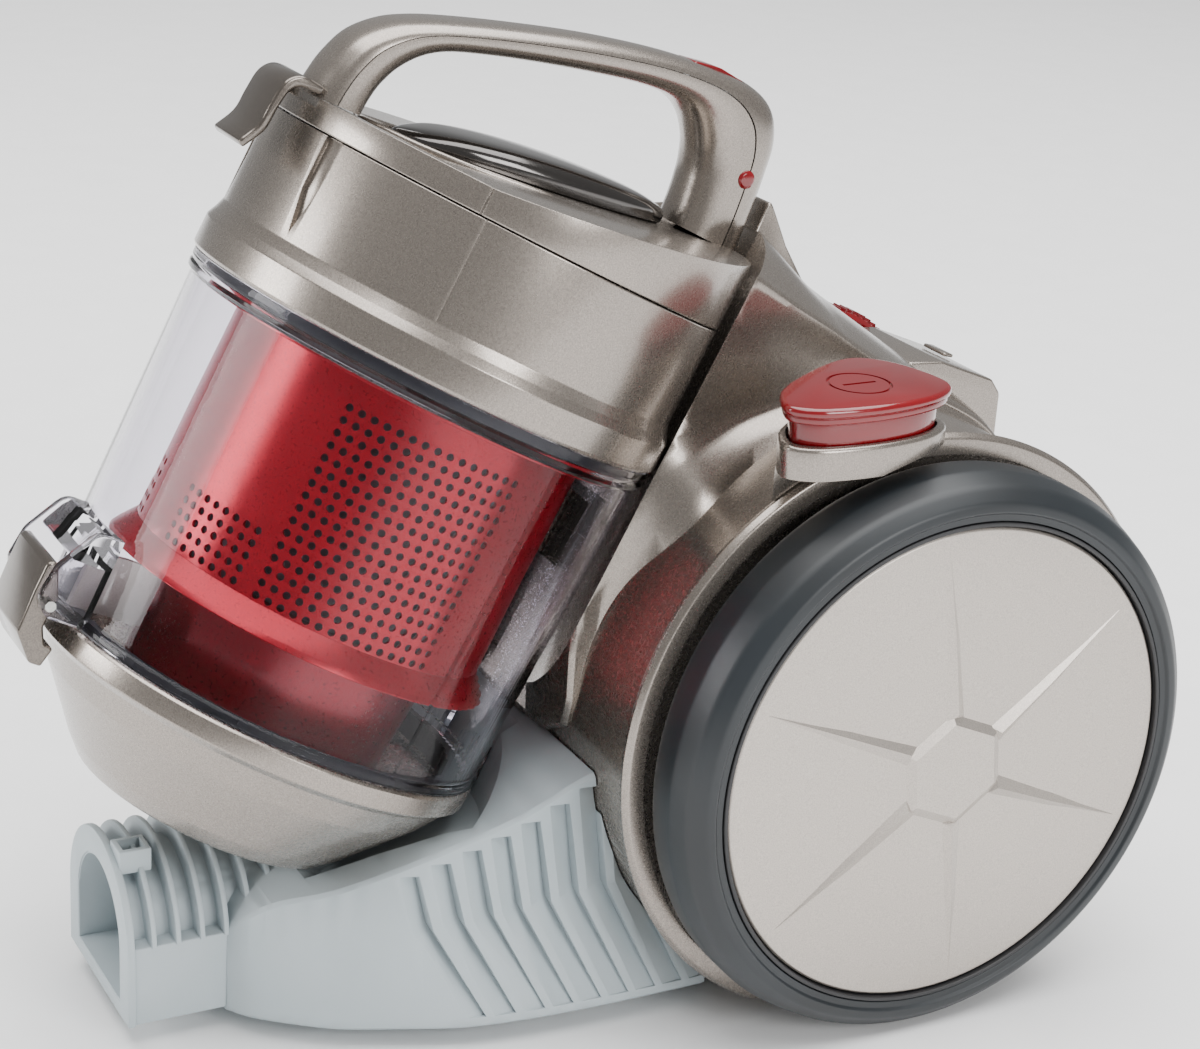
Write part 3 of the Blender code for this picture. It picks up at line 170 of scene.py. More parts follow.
def prism(name, outline, low, high, place=None, along="X", radius=0, bevel=0, segments=3):
    """Extrudes a closed outline, (y, z) along X or (x, y) along Z, and rounds its edges."""
    points = rounded(outline, radius) if radius else [Vector(p[:2]) for p in outline]
    bm = bmesh.new()
    if along == "X":
        verts = [bm.verts.new((low, p.x, p.y)) for p in points]
        shift = Vector((high - low, 0, 0))
    else:
        verts = [bm.verts.new((p.x, p.y, low)) for p in points]
        shift = Vector((0, 0, high - low))
    made = bmesh.ops.extrude_face_region(bm, geom=[bm.faces.new(verts)])
    moved = [v for v in made["geom"] if isinstance(v, bmesh.types.BMVert)]
    bmesh.ops.translate(bm, verts=moved, vec=shift)
    obj = mesh_object(name, bm, place)
    if bevel:
        soften(obj, bevel, segments)
    return obj


def block(name, low, high, place=None, bevel=0):
    outline = [(low[1], low[2]), (high[1], low[2]), (high[1], high[2]), (low[1], high[2])]
    return prism(name, outline, low[0], high[0], place, bevel=bevel)


def loft(name, rings, place=None, subdivide=0):
    """Joins rings of equal counts and caps both ends."""
    bm = bmesh.new()
    loops = [[bm.verts.new(p) for p in ring] for ring in rings]
    for first, second in zip(loops, loops[1:]):
        for i in range(len(first)):
            j = (i + 1) % len(first)
            bm.faces.new((first[i], first[j], second[j], second[i]))
    bm.faces.new(loops[0])
    bm.faces.new(list(reversed(loops[-1])))
    obj = mesh_object(name, bm, place, 40)
    if subdivide:
        modifier = obj.modifiers.new("smooth", "SUBSURF")
        modifier.levels = subdivide
        modifier.render_levels = subdivide
        settled(obj, 40)
    return obj


def soften(obj, width, segments=3, angle=35):
    modifier = obj.modifiers.new("soft_edges", "BEVEL")
    modifier.width = width
    modifier.segments = segments
    modifier.limit_method = "ANGLE"
    modifier.angle_limit = math.radians(angle)
    modifier.use_clamp_overlap = True
    return settled(obj)


def combine(obj, other, operation="DIFFERENCE"):
    """Cuts or joins with another object, which is then removed."""
    modifier = obj.modifiers.new("combine", "BOOLEAN")
    modifier.operation = operation
    modifier.object = other
    modifier.solver = "EXACT"
    settled(obj)
    bpy.data.objects.remove(other, do_unlink=True)
    return obj


def cut(obj, *others):
    for other in others:
        combine(obj, other)
    return obj


def merged(name, objs):
    """One object from several that don't touch or only rest on each other."""
    bm = bmesh.new()
    for obj in objs:
        bm.from_mesh(obj.data)
        bpy.data.objects.remove(obj, do_unlink=True)
    return mesh_object(name, bm)


def spline(points, count):
    """Catmull-Rom through a run of equal-length tuples."""
    runs = [Vector(p) for p in points]
    out = []
    spans = len(runs) - 1
    for k in range(count):
        t = k * spans / (count - 1)
        i = min(int(t), spans - 1)
        u = t - i
        p1, p2 = runs[i], runs[i + 1]
        p0 = runs[i - 1] if i else p1 * 2 - p2
        p3 = runs[i + 2] if i + 2 <= spans else p2 * 2 - p1
        out.append(0.5 * (2 * p1 + (p2 - p0) * u + (2 * p0 - 5 * p1 + 4 * p2 - p3) * u * u
            + (3 * p1 - p0 - 3 * p2 + p3) * u ** 3))
    return out


def arc(radius, start, end, count, centre=(0, 0)):
    """Points on a circle, at angles in degrees."""
    return [
        (centre[0] + radius * math.cos(math.radians(a)), centre[1] + radius * math.sin(math.radians(a)))
        for a in (start + (end - start) * i / (count - 1) for i in range(count))
    ]


# --- materials --------------------------------------------------------------------


def linear(code):
    """An sRGB hex colour as linear RGBA."""
    values = [int(code[i:i + 2], 16) / 255 for i in (0, 2, 4)]
    return (*[v / 12.92 if v <= 0.04045 else ((v + 0.055) / 1.055) ** 2.4 for v in values], 1)


def node(tree, kind, settings=None, **links):
    """Adds a node: settings fill its attributes or sockets, and links join outputs to its sockets."""
    made = tree.nodes.new(kind)
    for key, value in (settings or {}).items():
        if isinstance(key, int) or key in made.inputs:
            made.inputs[key].default_value = value
        else:
            setattr(made, key, value)
    for key, output in links.items():
        index = int(key[1:]) if key[1:].isdigit() and key[0] == "i" else key.replace("_", " ")
        tree.links.new(output, made.inputs[index])
    return made


def plain_shader(name, **sockets):
    """A material with a Principled BSDF, its sockets set by name."""
    made = bpy.data.materials.new(name)
    made.use_nodes = True
    shader = made.node_tree.nodes["Principled BSDF"]
    for key, value in sockets.items():
        shader.inputs[key.replace("_", " ")].default_value = value
    return made, made.node_tree, shader


def mottle(tree, scale, low, high, detail=3.0):
    """Noise on object coordinates, remapped to a range."""
    place = node(tree, "ShaderNodeTexCoord")
    noise = node(tree, "ShaderNodeTexNoise", {"Scale": scale, "Detail": detail},
        Vector=place.outputs["Object"])
    ranged = node(tree, "ShaderNodeMapRange", {"To Min": low, "To Max": high}, Value=noise.outputs["Fac"])
    return noise, ranged


def bump(tree, shader, height, strength, distance):
    made = node(tree, "ShaderNodeBump", {"Strength": strength, "Distance": distance}, Height=height)
    tree.links.new(made.outputs["Normal"], shader.inputs["Normal"])


def colour_mix(tree, factor, first, second):
    ramp = node(tree, "ShaderNodeValToRGB", {}, Fac=factor)
    ramp.color_ramp.elements[0].color = linear(first)
    ramp.color_ramp.elements[1].color = linear(second)
    ramp.color_ramp.elements[0].position = 0.3
    ramp.color_ramp.elements[1].position = 0.7
    return ramp


def metallic_lacquer(name, dark, light, roughness, metallic=0.85, coat=0.5):
    """ABS sprayed with metal-flake lacquer: fine flakes that glint, under a clear coat."""
    made, tree, shader = plain_shader(name, Metallic=metallic, Coat_Weight=coat, Coat_Roughness=0.12)
    flakes, _ = mottle(tree, 2600, 0, 1,
        2)  # flakes of 0.3 to 0.5 mm, coarser than real ones so that they show
    ramp = colour_mix(tree, flakes.outputs["Fac"], dark, light)
    tree.links.new(ramp.outputs["Color"], shader.inputs["Base Color"])
    _, rough = mottle(tree, 900, roughness - 0.04, roughness + 0.05)
    tree.links.new(rough.outputs["Result"], shader.inputs["Roughness"])
    bump(tree, shader, flakes.outputs["Fac"], 0.05, 0.0002)
    return made


def moulded_plastic(name, dark, light, roughness, grain=1400, depth=0.12, coat=0.0):
    """Moulded ABS or polypropylene: a fine spark-eroded grain, and a slightly uneven gloss."""
    made, tree, shader = plain_shader(name, Coat_Weight=coat, Coat_Roughness=0.06, IOR=1.5)
    tone, _ = mottle(tree, 18, 0, 1, 4)
    ramp = colour_mix(tree, tone.outputs["Fac"], dark, light)
    tree.links.new(ramp.outputs["Color"], shader.inputs["Base Color"])
    texture, rough = mottle(tree, grain, roughness - 0.05, roughness + 0.06)
    tree.links.new(rough.outputs["Result"], shader.inputs["Roughness"])
    bump(tree, shader, texture.outputs["Fac"], depth, 0.0002)
    return made


def clear_polycarbonate(name, tint):
    """Injection-moulded clear polycarbonate with a faint violet-grey tint."""
    made, tree, shader = plain_shader(name, Base_Color=linear(tint), Transmission_Weight=1.0, IOR=1.22)
    _, rough = mottle(tree, 60, 0, 0.02)
    tree.links.new(rough.outputs["Result"], shader.inputs["Roughness"])
    return made


def make_materials():
    return {
        "bronze": metallic_lacquer("bronze_lacquered_abs", "837b74", "a1988f", 0.27),
        "bronze_dark": metallic_lacquer("dark_bronze_lacquered_abs", "5f5852", "7b736b", 0.2),
        "pod": metallic_lacquer("dark_gloss_lacquered_abs", "3a3735", "4c4845", 0.12, coat=1.0),
        "silver": metallic_lacquer("champagne_lacquered_disc", "a8a099", "c2bab1", 0.36, 0.8, 0.25),
        "red_flake": metallic_lacquer("red_metallic_lacquered_abs", "8c0016", "b4001c", 0.28, 0.5, 0.12),
        "red_deep": metallic_lacquer("deep_red_metallic_abs", "7c0715", "9c0f20", 0.28, 0.6, 0.5),
        "red_gloss": moulded_plastic("red_gloss_abs", "69040c", "7d0812", 0.14, 900, 0.02, 0.5),
        "grey": moulded_plastic("blue_grey_moulded_abs", "a3aeb2", "b0babe", 0.5),
        "rubber": moulded_plastic("soft_tyre_rubber", "14181b", "1d2226", 0.4, 2200, 0.1),
        "seal": moulded_plastic("black_seal_rubber", "14161c", "1c1f27", 0.55, 1800, 0.1),
        "inner": moulded_plastic("black_moulded_abs", "1b1b1d", "262628", 0.5),
        "clear": clear_polycarbonate("clear_polycarbonate", "f4f2f8"),
        "steel": metallic_lacquer("turned_steel", "a5a5a2", "bcbcb8", 0.28, 1.0, 0.0),
        "copper": metallic_lacquer("enamelled_copper_winding", "7d3f1c", "a35a2a", 0.3, 1.0, 0.2),
        "foam": moulded_plastic("open_cell_foam", "202326", "34383c", 0.95, 500, 1.0),
        # The grey seen through the shroud's holes is painted light, for the dim light inside the shroud.
        "hole": moulded_plastic("grey_filter_mesh", "6d666d", "7d757c", 0.8),
    }


# --- shared cutters ---------------------------------------------------------------


def drum_space(radius, half):
    return cylinder("drum_space", radius, -half, half, HUB, FINE_STEPS, True)


def lift_space(room=0.0):
    """What the bin, its handle leg and its hinge sweep as the bin is lifted out."""
    wide = SWEEP_R + room
    profile = [(0, -47 * MM - room), (44 * MM + room, -47 * MM - room), (60 * MM + room, -30 * MM),
        (75 * MM + room, -15 * MM), (wide, -9 * MM), (wide, 300 * MM), (0, 300 * MM)]
    sweep = turned("lift_space", profile, radius=0, steps=FINE_STEPS)
    leg = block("leg_space", mm(-17, 0, -9.5), mm(17, 85.4, 290), BIN)
    return combine(sweep, leg, "UNION")


def round_bin(degrees):
    """The bin's place, turned about its axis."""
    return BIN @ Matrix.Rotation(math.radians(degrees), 4, "Z")


def below(height):
    return block("ground", (-0.3, -0.4, -0.2), (0.3, 0.4, height))


# --- wheels -----------------------------------------------------------------------

HEX_R = 19 * MM
RIDGE_TIP = 76.5 * MM
HEX_TURN = 37  # degrees of the first corner, from the rear towards the top
DISC_FACE = 116.2 * MM
DISC_CROWN = 118.6 * MM


def disc_surface(radius):
    """Distance of the domed disc from the machine's middle, at a radius."""
    return DISC_CROWN - (DISC_CROWN - DISC_FACE) * (radius / (81 * MM)) ** 2


def hub_relief(side):
    """The raised hexagon with a tapering ridge from each corner."""
    bm = bmesh.new()
    foot, top = [], []
    for k in range(6):
        a = math.radians(HEX_TURN + 60 * k)
        foot.append(bm.verts.new((side * (disc_surface(HEX_R) - 0.4 * MM),
            (HEX_R + 2.2 * MM) * math.cos(a), (HEX_R + 2.2 * MM) * math.sin(a))))
        top.append(bm.verts.new((side * (DISC_CROWN + 1.5 * MM), HEX_R * 0.9 * math.cos(a),
            HEX_R * 0.9 * math.sin(a))))
    for k in range(6):
        bm.faces.new((foot[k], foot[(k + 1) % 6], top[(k + 1) % 6], top[k]))
    bm.faces.new(top)
    bm.faces.new(list(reversed(foot)))
    for k in range(6):
        a = math.radians(HEX_TURN + 60 * k)
        out = Vector((0, math.cos(a), math.sin(a)))
        across = Vector((0, -math.sin(a), math.cos(a)))

        def at(radius, offset, rise):
            p = out * radius + across * offset
            p.x = side * (disc_surface(radius) + rise)
            return bm.verts.new(p)

        root = (at(HEX_R - 1 * MM, -4.6 * MM, -0.3 * MM), at(HEX_R + 1 * MM, -1.2 * MM, 1.6 * MM),
            at(HEX_R - 1 * MM, 3.4 * MM, -0.3 * MM))
        middle = (at(45 * MM, -2.9 * MM, -0.15 * MM), at(45 * MM, -0.8 * MM, 1.15 * MM),
            at(45 * MM, 2.0 * MM, -0.15 * MM))
        tip = (at(RIDGE_TIP, -0.3 * MM, -0.1 * MM), at(RIDGE_TIP, 0, 0.04 * MM),
            at(RIDGE_TIP, 0.3 * MM, -0.1 * MM))
        for first, second in ((root, middle), (middle, tip)):
            for i in range(3):
                j = (i + 1) % 3
                bm.faces.new((first[i], first[j], second[j], second[i]))
        bm.faces.new(root)
        bm.faces.new(tip)
    return mesh_object("hub_relief", bm, HUB, 12)


def make_wheel(side, label, finishes):
    def turned_here(name, profile, steps=FINE_STEPS, radius=0.5 * MM):
        return turned(name, [(p[0] * MM, side * p[1] * MM, *[v * MM for v in p[2:]]) for p in profile],
            HUB, steps, True, radius)

    body = label + "_wheel"
    tyre = turned_here("soft_tyre_" + label, [
        (84.1, 91.2), (93.5, 91.2, 3), (97, 95, 4), (97, 105.5, 7), (94.6, 113.4, 6), (90.2, 117.4, 3),
        (87.2, 117.9, 0.8), (86.4, 116.9, 0.5), (84.1, 116.9)])
    disc = turned_here("hub_disc_" + label, [
        (0, 113.7), (81.8, 113.7), (81.8, 115.6, 0.7), (81, 116.2, 0.7), (60, 117.3, 0), (40, 118, 0),
        (20, 118.45, 0), (0, 118.6)])
    disc = merged("hub_disc_" + label, [disc, hub_relief(side)])
    disc.data.set_sharp_from_angle(angle=math.radians(10))
    hub = turned_here("wheel_core_" + label, [
        (5.1, 102), (12, 102), (12, 108.9), (79.6, 108.9), (79.6, 102), (83.8, 102), (83.8, 117.3),
        (82.4, 117.3), (82.4, 113.4), (5.1, 113.4)])
    spokes = [hub]
    for k in range(12):
        spoke = prism("spoke", in_mm((12, -0.8), (79.8, -0.8), (79.8, 0.8), (12, 0.8)),
            *sorted((side * 103.5 * MM, side * 109.2 * MM)),
            HUB @ Matrix.Rotation(math.radians(30 * k), 4, "X"))
        spokes.append(spoke)
    hub = merged("wheel_core_" + label, spokes)
    for obj, finish, cad in ((tyre, "rubber", "tyre_"), (disc, "silver", "hub_disc_"),
        (hub, "inner", "wheel_hub_")):
        dress(obj, finishes[finish], body, cad + label)


def dress(obj, finish, body, *cad):
    """Gives a finished piece its material and its body, and hides the CAD nodes it stands for."""
    obj.data.materials.clear()
    obj.data.materials.append(finish)
    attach(obj, body)
    if cad:
        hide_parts(*cad)


# --- body -------------------------------------------------------------------------

# In mm: forward of the axle, half-width and height of the shoulder, foot, waist and ridge, and the crown
CREST = (
    (104, 47, 105, 46, 160, 46, 196, 52, 252, 264),
    (90, 50, 130, 48, 172, 46.5, 200, 52.5, 254, 265.5),
    (72, 64, 167.5, 53, 185.5, 47.4, 203, 52, 254, 267),
    (50, 62, 184.6, 49, 195.5, 46, 207, 50, 247.5, 266),
    (28, 58, 193.8, 45, 199.5, 43.6, 209.5, 46, 234, 254),
    (10, 56, 197.2, 44, 200.5, 42, 207, 43.6, 223, 236),
    (-2, 54, 197.7, 43, 200.5, 40.6, 205, 41.6, 215, 226.5),
    (-32, 50, 189, 40.5, 189.5, 38.4, 193.5, 37.6, 197, 206),
    (-65, 46, 170, 36.5, 170, 34.6, 174.5, 33, 178, 182.5),
    (-88, 42, 139, 34, 139, 31.8, 143, 30, 147.5, 151),
)


def crest():
    """The raised back of the body: two concave flanks, a ridge along each and a crowned top."""
    rings = []
    for forward, sx, sz, fx, fz, wx, wz, rx, rz, crown in spline(CREST, 40):
        half = [(sx - 3, sz - 25), (sx, sz - 5), ((sx + fx) / 2 - 0.3, (sz + fz) / 2 - 1.2),
            (fx + 0.7, fz - 0.5), (fx, fz), ((fx + wx) / 2 - 0.5, (fz + wz) / 2 - 0.6), (wx, wz),
            ((wx + rx) / 2 - 1.2, (wz + rz) / 2), (rx + 0.5, rz - 2.2), (rx, rz),
            (rx - 2.4, rz + 1.2), (rx * 0.72, rz * 0.42 + crown * 0.58), (rx * 0.36, crown - 1.0),
            (rx * 0.12, crown)]
        ring = half + [(-x, z) for x, z in reversed(half)]
        rings.append([Vector((x * MM, AXLE.y - forward * MM, z * MM)) for x, z in ring])
    return loft("crest", rings, subdivide=1)


FIN = ((30, 226), (26, 234), (15.8, 258), (12.5, 251), (8, 241), (0, 228),
    (0, 222))  # forward and height, in mm


def drum_sector(name, start, end, half, inner=DRUM_R - SHELL, steps=72):
    centre = (AXLE.y, AXLE.z)
    outline = arc(DRUM_R, start, end, steps, centre) + arc(inner, end, start, steps, centre)
    return prism(name, outline, -half, half)


def make_upper_body(finishes):
    shell = drum_sector("upper_body_shell", GRILLE_HIGH + 0.3, FRONT_JOINT, DRUM_HALF, inner=88 * MM)
    combine(shell, crest(), "UNION")
    cut(shell, drum_space(DRUM_R - SHELL, DRUM_HALF + 10 * MM))
    cradle = cylinder("cradle", 92 * MM, -20 * MM, 150 * MM, steps=FINE_STEPS)
    combine(cradle, drum_space(DRUM_R - 1.3 * MM, DRUM_HALF - 1 * MM), "INTERSECT")
    combine(shell, cradle, "UNION")
    fin = prism("fin", [(AXLE.y - f * MM, z * MM) for f, z in FIN], -6.5 * MM, 6.5 * MM,
        radius=1.5 * MM, bevel=1.5 * MM)
    combine(shell, fin, "UNION")
    cut(shell, lift_space())
    low, high = (Vector(c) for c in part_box("cord_outlet_housing"))
    cut(shell, block("post_room", (low.x - 0.4 * MM, low.y - 0.4 * MM, low.z),
        (high.x + 0.4 * MM, high.y + 0.05, high.z + 0.05)))
    cut(shell, block("inlet", mm(-15, 60, 70), mm(15, 110, 98), BIN))
    low, high = (Vector(c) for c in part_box("power_dial"))
    centre = (low + high) / 2
    dial_r = (high.z - low.z) / 2 + 1.4 * MM
    middle = Matrix.Translation((0, centre.y, centre.z))
    cut(shell, cylinder("dial_room", dial_r, low.x - 1.2 * MM, high.x + 1.2 * MM, middle, 96, True))
    soften(shell, 0.7 * MM, 2, 40)
    dress(shell, finishes["bronze"], "body", "upper_housing")


def make_side_walls(finishes):
    for side, label in ((1, "right"), (-1, "left")):
        profile = [(5.2, 84.3), (100.2, 84.3), (102.8, 84.6, 0.6), (103.4, 86.4, 1), (101.9, 88.5, 1.2),
            (96.5, 88.8, 0.5), (95, 87.2, 0.8), (5.2, 87.2)]
        wall = turned("side_wall_" + label, [(p[0] * MM, side * p[1] * MM,
            *[v * MM for v in p[2:]]) for p in profile], HUB, FINE_STEPS, True)
        cut(wall, below(UNDERSIDE))
        dress(wall, finishes["bronze"], "body", "side_wall_" + label)


def make_lower_body(finishes):
    dip = math.degrees(math.asin((AXLE.z - UNDERSIDE) / DRUM_R))
    inner_r = DRUM_R - SHELL
    inner_dip = math.degrees(math.asin((AXLE.z - UNDERSIDE - SHELL) / inner_r))
    centre = (AXLE.y, AXLE.z)
    outline = arc(DRUM_R, FRONT_JOINT + 0.3, 180 + dip, 30, centre) + arc(DRUM_R, 360 - dip, REAR_JOINT,
        30, centre)
    outline += arc(inner_r, REAR_JOINT, 360 - inner_dip, 30, centre) + arc(inner_r, 180 + inner_dip,
        FRONT_JOINT + 0.3, 30, centre)
    tub = prism("lower_body_tub", outline, -DRUM_HALF, DRUM_HALF)
    cut(tub, block("passage", (-17 * MM, AXLE.y - 105 * MM, 12 * MM),
        (17 * MM, AXLE.y - 60 * MM, 38 * MM)))
    soften(tub, 0.8 * MM, 2, 50)
    dress(tub, finishes["bronze"], "body", "lower_housing")


def new_tree(name, kinds):
    """A Geometry Nodes tree with named inputs, with their identifiers and their outputs inside the tree."""
    tree = bpy.data.node_groups.new(name, "GeometryNodeTree")
    tree.interface.new_socket("Geometry", in_out="OUTPUT", socket_type="NodeSocketGeometry")
    sockets = {}
    for key, kind in kinds.items():
        made = tree.interface.new_socket(key, in_out="INPUT", socket_type="NodeSocket" + kind)
        sockets[key] = made.identifier
    return tree, sockets, node(tree, "NodeGroupInput").outputs


def placed_copies(tree, template, **sources):
    """Copies of a template on points, made real."""
    source = node(tree, "GeometryNodeObjectInfo", {"Object": template})
    shape = source.outputs["Geometry"]
    copies = node(tree, "GeometryNodeInstanceOnPoints", {}, Instance=shape, **sources)
    return node(tree, "GeometryNodeRealizeInstances", {}, Geometry=copies.outputs["Instances"])


def coat(tree, geometry, finish):
    """Ends the tree with one material on everything."""
    coated = node(tree, "GeometryNodeSetMaterial", {"Material": finish}, Geometry=geometry)
    node(tree, "NodeGroupOutput", {}, Geometry=coated.outputs["Geometry"])


def repeat_tree(name, template, finish):
    """Geometry Nodes: copies of a template in a straight row, with a named count and step."""
    tree, sockets, given = new_tree(name, {"Count": "Int", "Step": "Vector", "Start": "Vector"})
    line = node(tree, "GeometryNodeMeshLine", {"mode": "OFFSET"}, Count=given["Count"],
        Start_Location=given["Start"], Offset=given["Step"])
    coat(tree, placed_copies(tree, template, Points=line.outputs["Mesh"]).outputs["Geometry"], finish)
    return tree, sockets


def grown(name, tree, sockets, place=None, **values):
    """A mesh made by a Geometry Nodes tree with its inputs set by socket identifier."""
    bm = bmesh.new()
    obj = mesh_object(name, bm)
    modifier = obj.modifiers.new("grow", "NODES")
    modifier.node_group = tree
    for key, value in values.items():
        modifier[sockets[key]] = value
    graph = bpy.context.evaluated_depsgraph_get()
    graph.update()
    mesh = bpy.data.meshes.new_from_object(obj.evaluated_get(graph))
    obj.modifiers.clear()
    obj.data = mesh
    if place is not None:
        mesh.transform(place)
    mesh.shade_smooth()
    mesh.set_sharp_from_angle(angle=math.radians(30))
    return obj


def row_of(name, template, finish, count, step, start):
    tree, sockets = repeat_tree(name + "_row", template, finish)
    made = grown(name, tree, sockets, Count=count, Step=step, Start=start)
    bpy.data.objects.remove(template, do_unlink=True)
    return made


def make_grille(finishes):
    """Exhaust grille: a slotted panel of the drum."""
    panel = drum_sector("exhaust_grille_panel", GRILLE_LOW, GRILLE_HIGH, DRUM_HALF - 0.3 * MM, steps=40)
    cutter = block("slot", (-3 * MM, AXLE.y + 70 * MM, AXLE.z - 22 * MM),
        (3 * MM, AXLE.y + 120 * MM, AXLE.z + 24 * MM), bevel=2 * MM)
    slots = row_of("grille_slots", cutter, finishes["bronze_dark"], 9, (12.5 * MM, 0, 0),
        (-50 * MM, 0, 0))
    cut(panel, slots)
    soften(panel, 0.6 * MM, 2, 50)
    dress(panel, finishes["bronze_dark"], "grille", "exhaust_grille")


def make_post(finishes):
    """Rear post: an engraved slot on top and a rounded notch above the cord outlet."""
    low, high = (Vector(c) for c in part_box("cord_outlet_housing"))
    front, rear, top = low.y, high.y, high.z
    outline = [(front, 140 * MM), (rear, 140 * MM), (rear, top - 15 * MM, 3 * MM),
        (rear - 4 * MM, top - 9.5 * MM, 3 * MM),
        (front + 14 * MM, top - 1 * MM, 6 * MM), (front, top, 1 * MM)]
    post = prism("cord_outlet_post", outline, low.x, high.x, radius=1 * MM, bevel=2.2 * MM, segments=4)
    cut(post, drum_space(DRUM_R + 0.4 * MM, DRUM_HALF))
    mouth_z = (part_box("cord_outlet_bush")[0][2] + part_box("cord_outlet_bush")[1][2]) / 2
    backwards = Matrix.Translation((0, rear, mouth_z)) @ Matrix.Rotation(math.pi / 2, 4, "X")
    mouth = cylinder("mouth", 8 * MM, -30 * MM, 30 * MM, backwards, 64)
    cut(post, mouth)
    slope = math.atan2(8.5, 34)
    on_top = Matrix.Translation((-3 * MM, front + 30 * MM, top - 4.9 * MM))
    on_top = on_top @ Matrix.Rotation(-slope, 4, "X")
    cut(post, block("icon", mm(-9, -4.5, -0.9), mm(9, 4.5, 4), on_top, 2.4 * MM))
    icon = block("cord_mark", mm(-6.5, -2.2, -1.5), mm(6.5, 2.2, -0.2), on_top, 0.8 * MM)
    notch_at = Matrix.Translation((0, rear + 1 * MM, top - 7 * MM))
    notch = cylinder("notch", 6.5 * MM, -16 * MM, 16 * MM, notch_at, 48, True)
    cut(post, notch)
    post = merged("cord_outlet_post", [post, icon])
    dress(post, finishes["bronze"], "body", "cord_outlet_housing")
    ring = in_mm((3.8, -9), (7.6, -9), (7.6, 0), (9.5, 0.4), (9.5, 2, 0.8), (4.4, 2, 0.8))
    outward = Matrix.Translation((0, rear, mouth_z)) @ Matrix.Rotation(-math.pi / 2, 4, "X")
    bush = turned("cord_outlet_gland", ring, outward, 64)
    dress(bush, finishes["seal"], "body", "cord_outlet_bush")


def make_dial(finishes):
    """Thumbwheel with a milled rim."""
    low, high = (Vector(c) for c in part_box("power_dial"))
    centre = (low + high) / 2
    place = Matrix.Translation((0, centre.y, centre.z))
    r = (high.z - low.z) / 2
    x0, x1 = low.x, high.x
    wheel = turned("dial_wheel", [(3.2 * MM, x0), (r - 3 * MM, x0), (r - 1.2 * MM, x0 + 1.6 * MM),
        (r - 1.2 * MM, x1 - 1.6 * MM), (r - 3 * MM, x1), (3.2 * MM, x1)], place, 128, True)
    teeth = [wheel]
    for k in range(72):
        tooth = prism("tooth", [(r - 2 * MM, -0.75 * MM), (r - 0.1 * MM, -0.35 * MM),
            (r - 0.1 * MM, 0.35 * MM), (r - 2 * MM, 0.75 * MM)],
            x0 + 1.4 * MM, x1 - 1.4 * MM, place @ Matrix.Rotation(math.tau * k / 72, 4, "X"))
        teeth.append(tooth)
    dress(merged("dial_wheel", teeth), finishes["red_gloss"], "dial", "power_dial")


# --- pedals -----------------------------------------------------------------------

PEDAL_TOP = 219.5 * MM
PEDAL_FORWARD = 26 * MM
PEDAL_X = 84 * MM


PEDAL_PLAN = (  # outward and forward of the pedal's middle, in mm
    (2, 30.5), (12.8, 35), (19, 30), (21.8, 21), (22.4, 4), (19.5, -13), (13, -24), (5, -26.6),
    (-8, -24), (-18, -18.5), (-22.6, -10), (-19, 2), (-10, 17), (-4, 25),
)


def pedal_outline(side, scale):
    """The pedal's rounded triangle, smoothed, about its own middle."""
    loop = [PEDAL_PLAN[-2], PEDAL_PLAN[-1], *PEDAL_PLAN, PEDAL_PLAN[0], PEDAL_PLAN[1]]
    per_span = 5
    fine = spline(loop, (len(loop) - 1) * per_span + 1)[2 * per_span:-2 * per_span + per_span]
    fine = fine[:len(PEDAL_PLAN) * per_span]
    middle = Vector((2.5, 4))
    points = []
    for p in fine:
        q = middle + (p - middle) * scale
        points.append((side * (PEDAL_X + q.x * MM), AXLE.y - PEDAL_FORWARD - q.y * MM))
    return points


def make_pedal(side, label, body, collar_label, finishes):
    low_lip = prism("pedal_lip", pedal_outline(side, 0.985), PEDAL_TOP - 5.4 * MM, PEDAL_TOP - 2.6 * MM,
        along="Z", bevel=0.9 * MM)
    plate = prism("pedal_plate", pedal_outline(side, 1.02), PEDAL_TOP - 3.4 * MM, PEDAL_TOP, along="Z",
        bevel=1.5 * MM, segments=4)
    combine(plate, low_lip, "UNION")
    place = Matrix.Translation((side * (PEDAL_X + 1.5 * MM), AXLE.y - PEDAL_FORWARD - 2 * MM, PEDAL_TOP))
    ring = in_mm((9.4, -0.6), (10.4, -0.6), (10.4, 2), (9.4, 2))
    cut(plate, turned("mark_ring", ring, place, 64, False, 0))
    bar = place @ Matrix.Rotation(math.radians(90), 4, "Z")
    cut(plate, block("mark_bar", mm(-6, -0.6, -0.6), mm(6, 0.6, 2), bar))
    stem = prism("pedal_stem", pedal_outline(side, 0.88), 206.2 * MM, PEDAL_TOP - 5 * MM, along="Z",
        bevel=0.8 * MM)
    dress(merged(label + "_cap", [plate, stem]), finishes["red_gloss"], body, label)
    collar = prism(collar_label + "_rim", pedal_outline(side, 1.0), 165 * MM, 207 * MM, along="Z",
        bevel=1.6 * MM, segments=4)
    cut(collar, prism("well", pedal_outline(side, 0.905), 200.6 * MM, 240 * MM, along="Z"))
    seat = turned("seat", [(0, side * 20 * MM), (DRUM_R + 0.3 * MM, side * 20 * MM),
        (DRUM_R + 0.3 * MM, side * 83.9 * MM), (104 * MM, side * 83.9 * MM),
        (104 * MM, side * 140 * MM), (0, side * 140 * MM)], HUB, FINE_STEPS, True, 0)
    cut(collar, seat)
    low, high = sorted((side * 86.5 * MM, side * 140 * MM))
    cut(collar, block("undercut", (low, -0.1, 0.1), (high, 0.3, 196.5 * MM)))
    cut(collar, crest())
    soften(collar, 0.8 * MM, 2, 40)
    dress(collar, finishes["bronze"], "body", collar_label)


# --- base -------------------------------------------------------------------------

